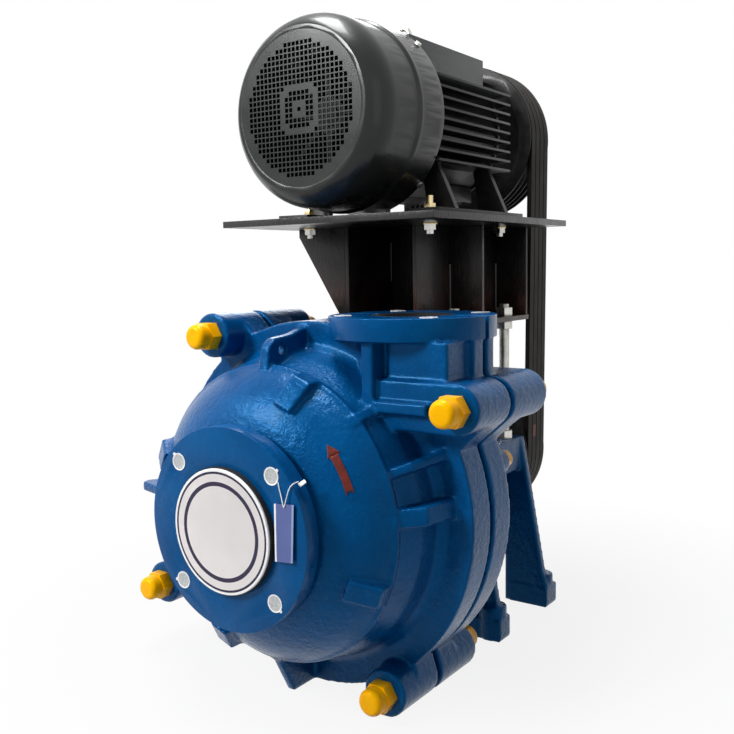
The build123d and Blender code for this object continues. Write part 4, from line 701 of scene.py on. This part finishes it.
def threadedRod(name, x, y):
    # one vertex, drawn out into the profile of a single thread and wound up the rod
    look = rodLook
    bpy.ops.mesh.primitive_plane_add(size=0.01)
    rod = settle(bpy.context.active_object, name)
    bpy.ops.object.mode_set(mode="EDIT")
    bpy.ops.mesh.select_mode(type="VERT")
    bpy.ops.mesh.select_all(action="DESELECT")
    bpy.ops.object.mode_set(mode="OBJECT")
    for vertex in rod.data.vertices:
        vertex.select = vertex.index > 0
    bpy.ops.object.mode_set(mode="EDIT")
    bpy.ops.mesh.delete(type="VERT")
    bpy.ops.object.mode_set(mode="OBJECT")
    rod.data.vertices[0].co = (look["root"], 0, 0)
    rod.data.vertices[0].select = True
    bpy.ops.object.mode_set(mode="EDIT")
    crest = look["crest"] - look["root"]
    flank, flat = look["pitch"] * look["flank"], look["pitch"] * look["flat"]
    for step in ((crest, 0, flank), (0, 0, flat), (-crest, 0, flank)):
        bpy.ops.mesh.extrude_region_move(TRANSFORM_OT_translate={"value": step})
    bpy.ops.object.mode_set(mode="OBJECT")
    thread = rod.modifiers.new("thread", "SCREW")
    thread.screw_offset = look["pitch"]
    thread.iterations = int((look["high"] - look["low"]) / look["pitch"]) - 1
    thread.steps = thread.render_steps = look["steps"]
    thread.use_merge_vertices = True
    thread.merge_threshold = look["merge"]
    applyAll(rod)
    bpy.ops.object.mode_set(mode="EDIT")
    bpy.ops.mesh.select_all(action="SELECT")
    bpy.ops.mesh.normals_make_consistent(inside=False)
    bpy.ops.object.mode_set(mode="OBJECT")
    rod.location = (x, y, look["low"])
    settle(rod, name)
    core = cylinder("core", (x, y, (look["low"] + look["high"]) / 2), look["root"] + look["coreLap"],
                    look["high"] - look["low"], sides=look["coreSides"])
    piece = join(name, [rod, core])
    bpy.ops.object.shade_smooth_by_angle(angle=radians(look["smoothAngle"]))
    return piece


rodPlaces = [(x, splitY + behind) for x in rodLook["x"] for behind in rodLook["behind"]]
rodSet = join("threadedRods", [threadedRod(f"rod{index}", x, y) for index, (x, y) in enumerate(rodPlaces)])
dress(rodSet, "zincSteel")
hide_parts("adjusting_rods")
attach(rodSet, "root")
print("grille and threaded rods made")

# weld beads along the stool plates; ribs, web and baseRuns are distances behind the split
weldLook = {"radius": 0.0034, "step": 0.0030, "voxel": 0.0009}
stool = {
    "outerX": 0.077, "innerX": 0.069, "low": 0.582, "high": 0.749, "ribs": (0.274, 0.455), "web": 0.300,
    "gap": 0.001, "ribStart": 0.006, "webStart": 0.07, "end": 0.02, "rightRibEnd": 0.045,
    "baseRuns": ((0.172, 0.205), (0.222, 0.262), (0.300, 0.340), (0.372, 0.395), (0.425, 0.450)),
}


def weldBead(start, end):
    # overlapping drops in a row, melted into one skin
    look = weldLook
    run = Vector(end) - Vector(start)
    bpy.ops.mesh.primitive_ico_sphere_add(subdivisions=2, radius=look["radius"], location=start)
    drop = settle(bpy.context.active_object, "bead")
    row = drop.modifiers.new("row", "ARRAY")
    row.use_relative_offset = False
    row.use_constant_offset = True
    row.constant_offset_displace = run.normalized() * look["step"]
    row.count = max(int(run.length / look["step"]), 2)
    skin = drop.modifiers.new("skin", "REMESH")
    skin.mode = "VOXEL"
    skin.voxel_size = look["voxel"]
    applyAll(drop)
    bpy.ops.object.shade_smooth()
    return drop


def stoolWelds():
    look, low, beads = stool, stool["low"], []
    for side in (-1, 1):
        x = side * (look["outerX"] + look["gap"])
        for behind in look["ribs"]:
            y = splitY + behind - look["gap"]
            top = look["high"] - look["rightRibEnd"] * (side > 0) - look["end"]
            beads.append(weldBead((x, y, low + look["ribStart"]), (x, y, top)))
        innerX, y = side * (look["innerX"] - look["gap"]), splitY + look["web"] - look["gap"]
        beads.append(weldBead((innerX, y, low + look["webStart"]), (innerX, y, look["high"] - look["end"])))
        for start, end in look["baseRuns"]:
            beads.append(weldBead((x, splitY + start, low), (x, splitY + end, low)))
    put(join("stoolWelds", beads), "motor_platform", "black_plate", "weldBead")


stoolWelds()
print("welds made")

# cast arrow on the cover, painted red, that points the way the shaft turns; its places are in degrees
arrowLook = {
    "radius": 0.1955, "halfWidth": 0.0046, "barb": 0.0082, "tip": 42.3, "neck": 37.0, "barbEnd": 36.6,
    "notch": 21.8, "tail": 19.5, "height": 0.0012, "steps": 14, "startY": splitY - 0.22, "edge": 0.0003,
    "sharp": 50.0,
}


def castArrow(cover):
    look, steps = arrowLook, arrowLook["steps"]
    columns = steps + 3
    bpy.ops.mesh.primitive_grid_add(x_subdivisions=columns, y_subdivisions=2, size=1.0)
    arrow = settle(bpy.context.active_object, "castArrow")
    angles = [look["tail"] + (look["neck"] - look["tail"]) * step / steps for step in range(steps + 1)]
    angles += [look["barbEnd"], (look["barbEnd"] + look["tip"]) / 2, look["tip"]]
    halfWidths = [look["halfWidth"]] * (steps + 1) + [look["barb"], look["barb"] / 2, 0.0]
    for vertex in arrow.data.vertices:
        column = round((vertex.co.x + 0.5) * columns)
        across = round(vertex.co.y * 2)
        angle = radians(look["notch"] if column == across == 0 else angles[column])
        radius = look["radius"] + halfWidths[column] * across
        vertex.co = (radius * cos(angle), look["startY"], pumpAxisZ + radius * sin(angle))
    bpy.ops.object.mode_set(mode="EDIT")
    bpy.ops.mesh.select_all(action="SELECT")
    bpy.ops.mesh.remove_doubles(threshold=mergeDistance)
    bpy.ops.mesh.subdivide(number_cuts=2)
    bpy.ops.object.mode_set(mode="OBJECT")
    layOn(arrow, cover, "y", False, look["height"])
    breakEdges(arrow, look["edge"], 1, look["sharp"])
    put(arrow, "root", "blue_casting", "redMark")


castArrow(bpy.data.objects["coverCasting"])

# blank swing tag with a white strip at the left and a paler blue border at the right, which is a painted
# highlight; corners and hole are x and z
tagLook = {
    "corners": ((0.0985, 0.3545), (0.1342, 0.3574), (0.1310, 0.2750), (0.0991, 0.2722)), "y": splitY - 0.2520,
    "bow": 0.0016, "thick": 0.0008, "width": 0.0355, "border": 0.0034, "edge": 0.0001,
    "firstMiddle": 0.1002, "nextMiddle": 0.0158,  # x of the three columns' middles
    "hole": (0.1175, 0.3515), "holeRadius": 0.0016, "toolDepth": 0.02,
}


def swingTag():
    look = tagLook
    bpy.ops.mesh.primitive_grid_add(x_subdivisions=3, y_subdivisions=1, size=1.0)
    card = settle(bpy.context.active_object, "swingTag")
    topLeft, topRight, lowRight, lowLeft = [Vector(corner) for corner in look["corners"]]
    border = look["border"] / look["width"]
    for vertex in card.data.vertices:
        share = (0.0, border, 1.0 - border, 1.0)[round((vertex.co.x + 0.5) * 3)]
        if vertex.co.y > 0:
            spot, bow = topLeft.lerp(topRight, share), 0.0
        else:
            spot, bow = lowLeft.lerp(lowRight, share), look["bow"]
        vertex.co = (spot.x, look["y"] - bow, spot.y)
    dress(card, "whiteNylon", "tagCard", "tagPaintedHighlight")
    # left column white, middle the blue card, right column the painted highlight
    for polygon in card.data.polygons:
        column = round((polygon.center.x - look["firstMiddle"]) / look["nextMiddle"])
        polygon.material_index = min(max(column, 0), 2)
    thicken(card, look["thick"], 0.0)
    holePlace = (look["hole"][0], look["y"], look["hole"][1])
    cut(card, [cylinder("tool", holePlace, look["holeRadius"], look["toolDepth"], facingFront, 20)])
    breakEdges(card, look["edge"], 1)
    put(card, "root", "white_disc")


swingTag()

# thin string of the tag, tied round the suction flange: x, distance behind the split, z
stringLook = {"radius": 0.0008, "order": 3, "roundness": 2}
stringRoute = [
    (0.1038, -0.2486, 0.3854), (0.1070, -0.2500, 0.3770), (0.1103, -0.2512, 0.3693), (0.1140, -0.2526, 0.3600),
    (0.1168, -0.2536, 0.3528), (0.1183, -0.2538, 0.3522), (0.1204, -0.2530, 0.3600), (0.1232, -0.2518, 0.3712),
    (0.1262, -0.2510, 0.3796), (0.1296, -0.2502, 0.3840), (0.1322, -0.2494, 0.3862), (0.1334, -0.2450, 0.3874),
    (0.1336, -0.2400, 0.3878),
]


def tagString():
    bpy.ops.curve.primitive_nurbs_path_add()
    curve = bpy.context.active_object
    curve.name = "tagString"
    line = curve.data.splines[0]
    line.points.add(len(stringRoute) - len(line.points))
    for point, (x, behind, z) in zip(line.points, stringRoute):
        point.co = (x, splitY + behind, z, 1.0)
    line.order_u = stringLook["order"]
    line.use_endpoint_u = True
    curve.data.bevel_depth = stringLook["radius"]
    curve.data.bevel_resolution = stringLook["roundness"]
    only(curve)
    bpy.ops.object.convert(target="MESH")
    put(curve, "root", "white_disc", "whiteNylon")


tagString()

# clip at the end of the string, with a hollowed top
clipLook = {
    "size": (0.0060, 0.0105, 0.0035), "place": (0.1362, splitY - 0.2352, 0.3848), "turn": (35, 38, 0),
    "rim": 0.0008, "sink": 0.0006, "edge": 0.0005,
}


def tagClip():
    look = clipLook
    bpy.ops.mesh.primitive_cube_add(size=1.0, location=look["place"], scale=look["size"],
                                    rotation=[radians(angle) for angle in look["turn"]])
    clip = settle(bpy.context.active_object, "tagClip")
    pickFaces(clip, lambda centre, normal: normal.z > 0.5)
    bpy.ops.mesh.inset(thickness=look["rim"])
    bpy.ops.mesh.extrude_region_shrink_fatten(TRANSFORM_OT_shrink_fatten={"value": -look["sink"]})
    bpy.ops.object.mode_set(mode="OBJECT")
    breakEdges(clip, look["edge"], 2)
    put(clip, "root", "white_disc", "whiteNylon")


tagClip()

# red mark on one belt, low on the pump side
markLook = {"x": 0.1494, "y": splitY + 0.4975, "width": 0.0120, "low": 0.331, "high": 0.355, "thick": 0.0004}


def beltMark():
    look = markLook
    bpy.ops.mesh.primitive_grid_add(x_subdivisions=2, y_subdivisions=6, size=1.0)
    mark = settle(bpy.context.active_object, "beltMark")
    for vertex in mark.data.vertices:
        z = look["low"] + (vertex.co.y + 0.5) * (look["high"] - look["low"])
        vertex.co = (look["x"], look["y"] + vertex.co.x * look["width"], z)
    layOn(mark, belts, "x", True, look["thick"])
    put(mark, "root", "black_rubber", "redMark")


beltMark()
print("arrow, tag and marks made")

# lights, floor and camera

lamps = {
    "keyLight": {"place": (-1.3, -2.6, 2.1), "aim": (0.0, -0.3, 0.6), "size": (0.8, 0.8), "power": 82.0},
    "fillLight": {"place": (2.4, -1.2, 1.2), "aim": (0.0, -0.3, 0.5), "size": (1.0, 2.0), "power": 3.0},
    "topLight": {"place": (-0.3, -0.5, 2.9), "aim": (0.0, -0.3, 0.6), "size": (1.2, 0.7), "power": 66.0},
    "rimLight": {"place": (-1.6, 1.8, 1.8), "aim": (0.0, -0.2, 0.6), "size": (1.2, 1.6), "power": 18.0},
}


def placeLight(name, place, aim, size, power):
    data = bpy.data.lights.new(name, "AREA")
    data.shape = "RECTANGLE"
    data.size, data.size_y = size
    data.energy = power
    lamp = bpy.data.objects.new(name, data)
    bpy.context.scene.collection.objects.link(lamp)
    lamp.location = place
    lamp.rotation_euler = (Vector(aim) - Vector(place)).to_track_quat("-Z", "Y").to_euler()


for name, lamp in lamps.items():
    placeLight(name, **lamp)

# the world and the floor look white, but light the pump much less than they show
studio = {
    "ambient": 0.14, "floorSize": 12.0, "floorZ": -0.0005, "floorColour": (0.42, 0.42, 0.43),
    "floorRoughness": 0.6, "grain": 60.0, "relief": 0.0002, "strength": 0.2,
    "glowDistances": (0.30, 0.95), "glowShares": (0.86, 1.0),  # the floor glows more away from the pump
}


def seenDirectly(tree):
    paths = tree.nodes.new("ShaderNodeLightPath")
    first = reckon(tree, "MAXIMUM", paths.outputs["Is Camera Ray"], paths.outputs["Is Glossy Ray"])
    return reckon(tree, "MAXIMUM", first, paths.outputs["Is Transmission Ray"])


world = bpy.data.worlds.new("studio")
world.use_nodes = True
bpy.context.scene.world = world
tree = world.node_tree
shown, soft = tree.nodes["Background"], tree.nodes.new("ShaderNodeBackground")
for background, strength in ((shown, 1.0), (soft, studio["ambient"])):
    background.inputs["Color"].default_value = (1, 1, 1, 1)
    background.inputs["Strength"].default_value = strength
mixShaders(tree, seenDirectly(tree), soft, shown, "World Output")

bpy.ops.mesh.primitive_plane_add(size=studio["floorSize"], location=(0, 0, studio["floorZ"]))
floor = settle(bpy.context.active_object, "studioFloor")
floorMaterial, tree, shader, place = startMaterial("paleFloor", studio["floorRoughness"])
shader.inputs["Base Color"].default_value = (*studio["floorColour"], 1)
bump(tree, shader, noise(tree, place, studio["grain"]), studio["relief"], studio["strength"])
glow = tree.nodes.new("ShaderNodeEmission")
glow.inputs["Strength"].default_value = 1.0
away = tree.nodes.new("ShaderNodeVectorMath")
away.operation = "LENGTH"
tree.links.new(place, away.inputs[0])
share = spread(tree, away.outputs["Value"], *studio["glowDistances"], *studio["glowShares"])
mixShaders(tree, reckon(tree, "MULTIPLY", seenDirectly(tree), share), shader, glow, "Material Output")
floor.data.materials.append(floorMaterial)

viewpoint = {
    "place": (0.9165, -1.5323, 0.6786), "yaw": 35.11, "pitch": -6.52, "roll": -0.94,
    "lens": 44.29, "sensor": 36.0, "shiftX": -0.0061, "shiftY": 0.0046,
}
cameraData = bpy.data.cameras.new("photoCamera")
cameraData.sensor_width = viewpoint["sensor"]
cameraData.lens = viewpoint["lens"]
cameraData.shift_x = viewpoint["shiftX"]
cameraData.shift_y = viewpoint["shiftY"]
camera = bpy.data.objects.new("photoCamera", cameraData)
bpy.context.scene.collection.objects.link(camera)
camera.matrix_world = (
    Matrix.Translation(viewpoint["place"]) @ Matrix.Rotation(radians(viewpoint["yaw"]), 4, "Z")
    @ Matrix.Rotation(radians(90 + viewpoint["pitch"]), 4, "X")
    @ Matrix.Rotation(radians(viewpoint["roll"]), 4, "Z")
)
bpy.context.scene.camera = camera
bpy.context.scene.view_settings.view_transform = "Standard"
print("stage set")
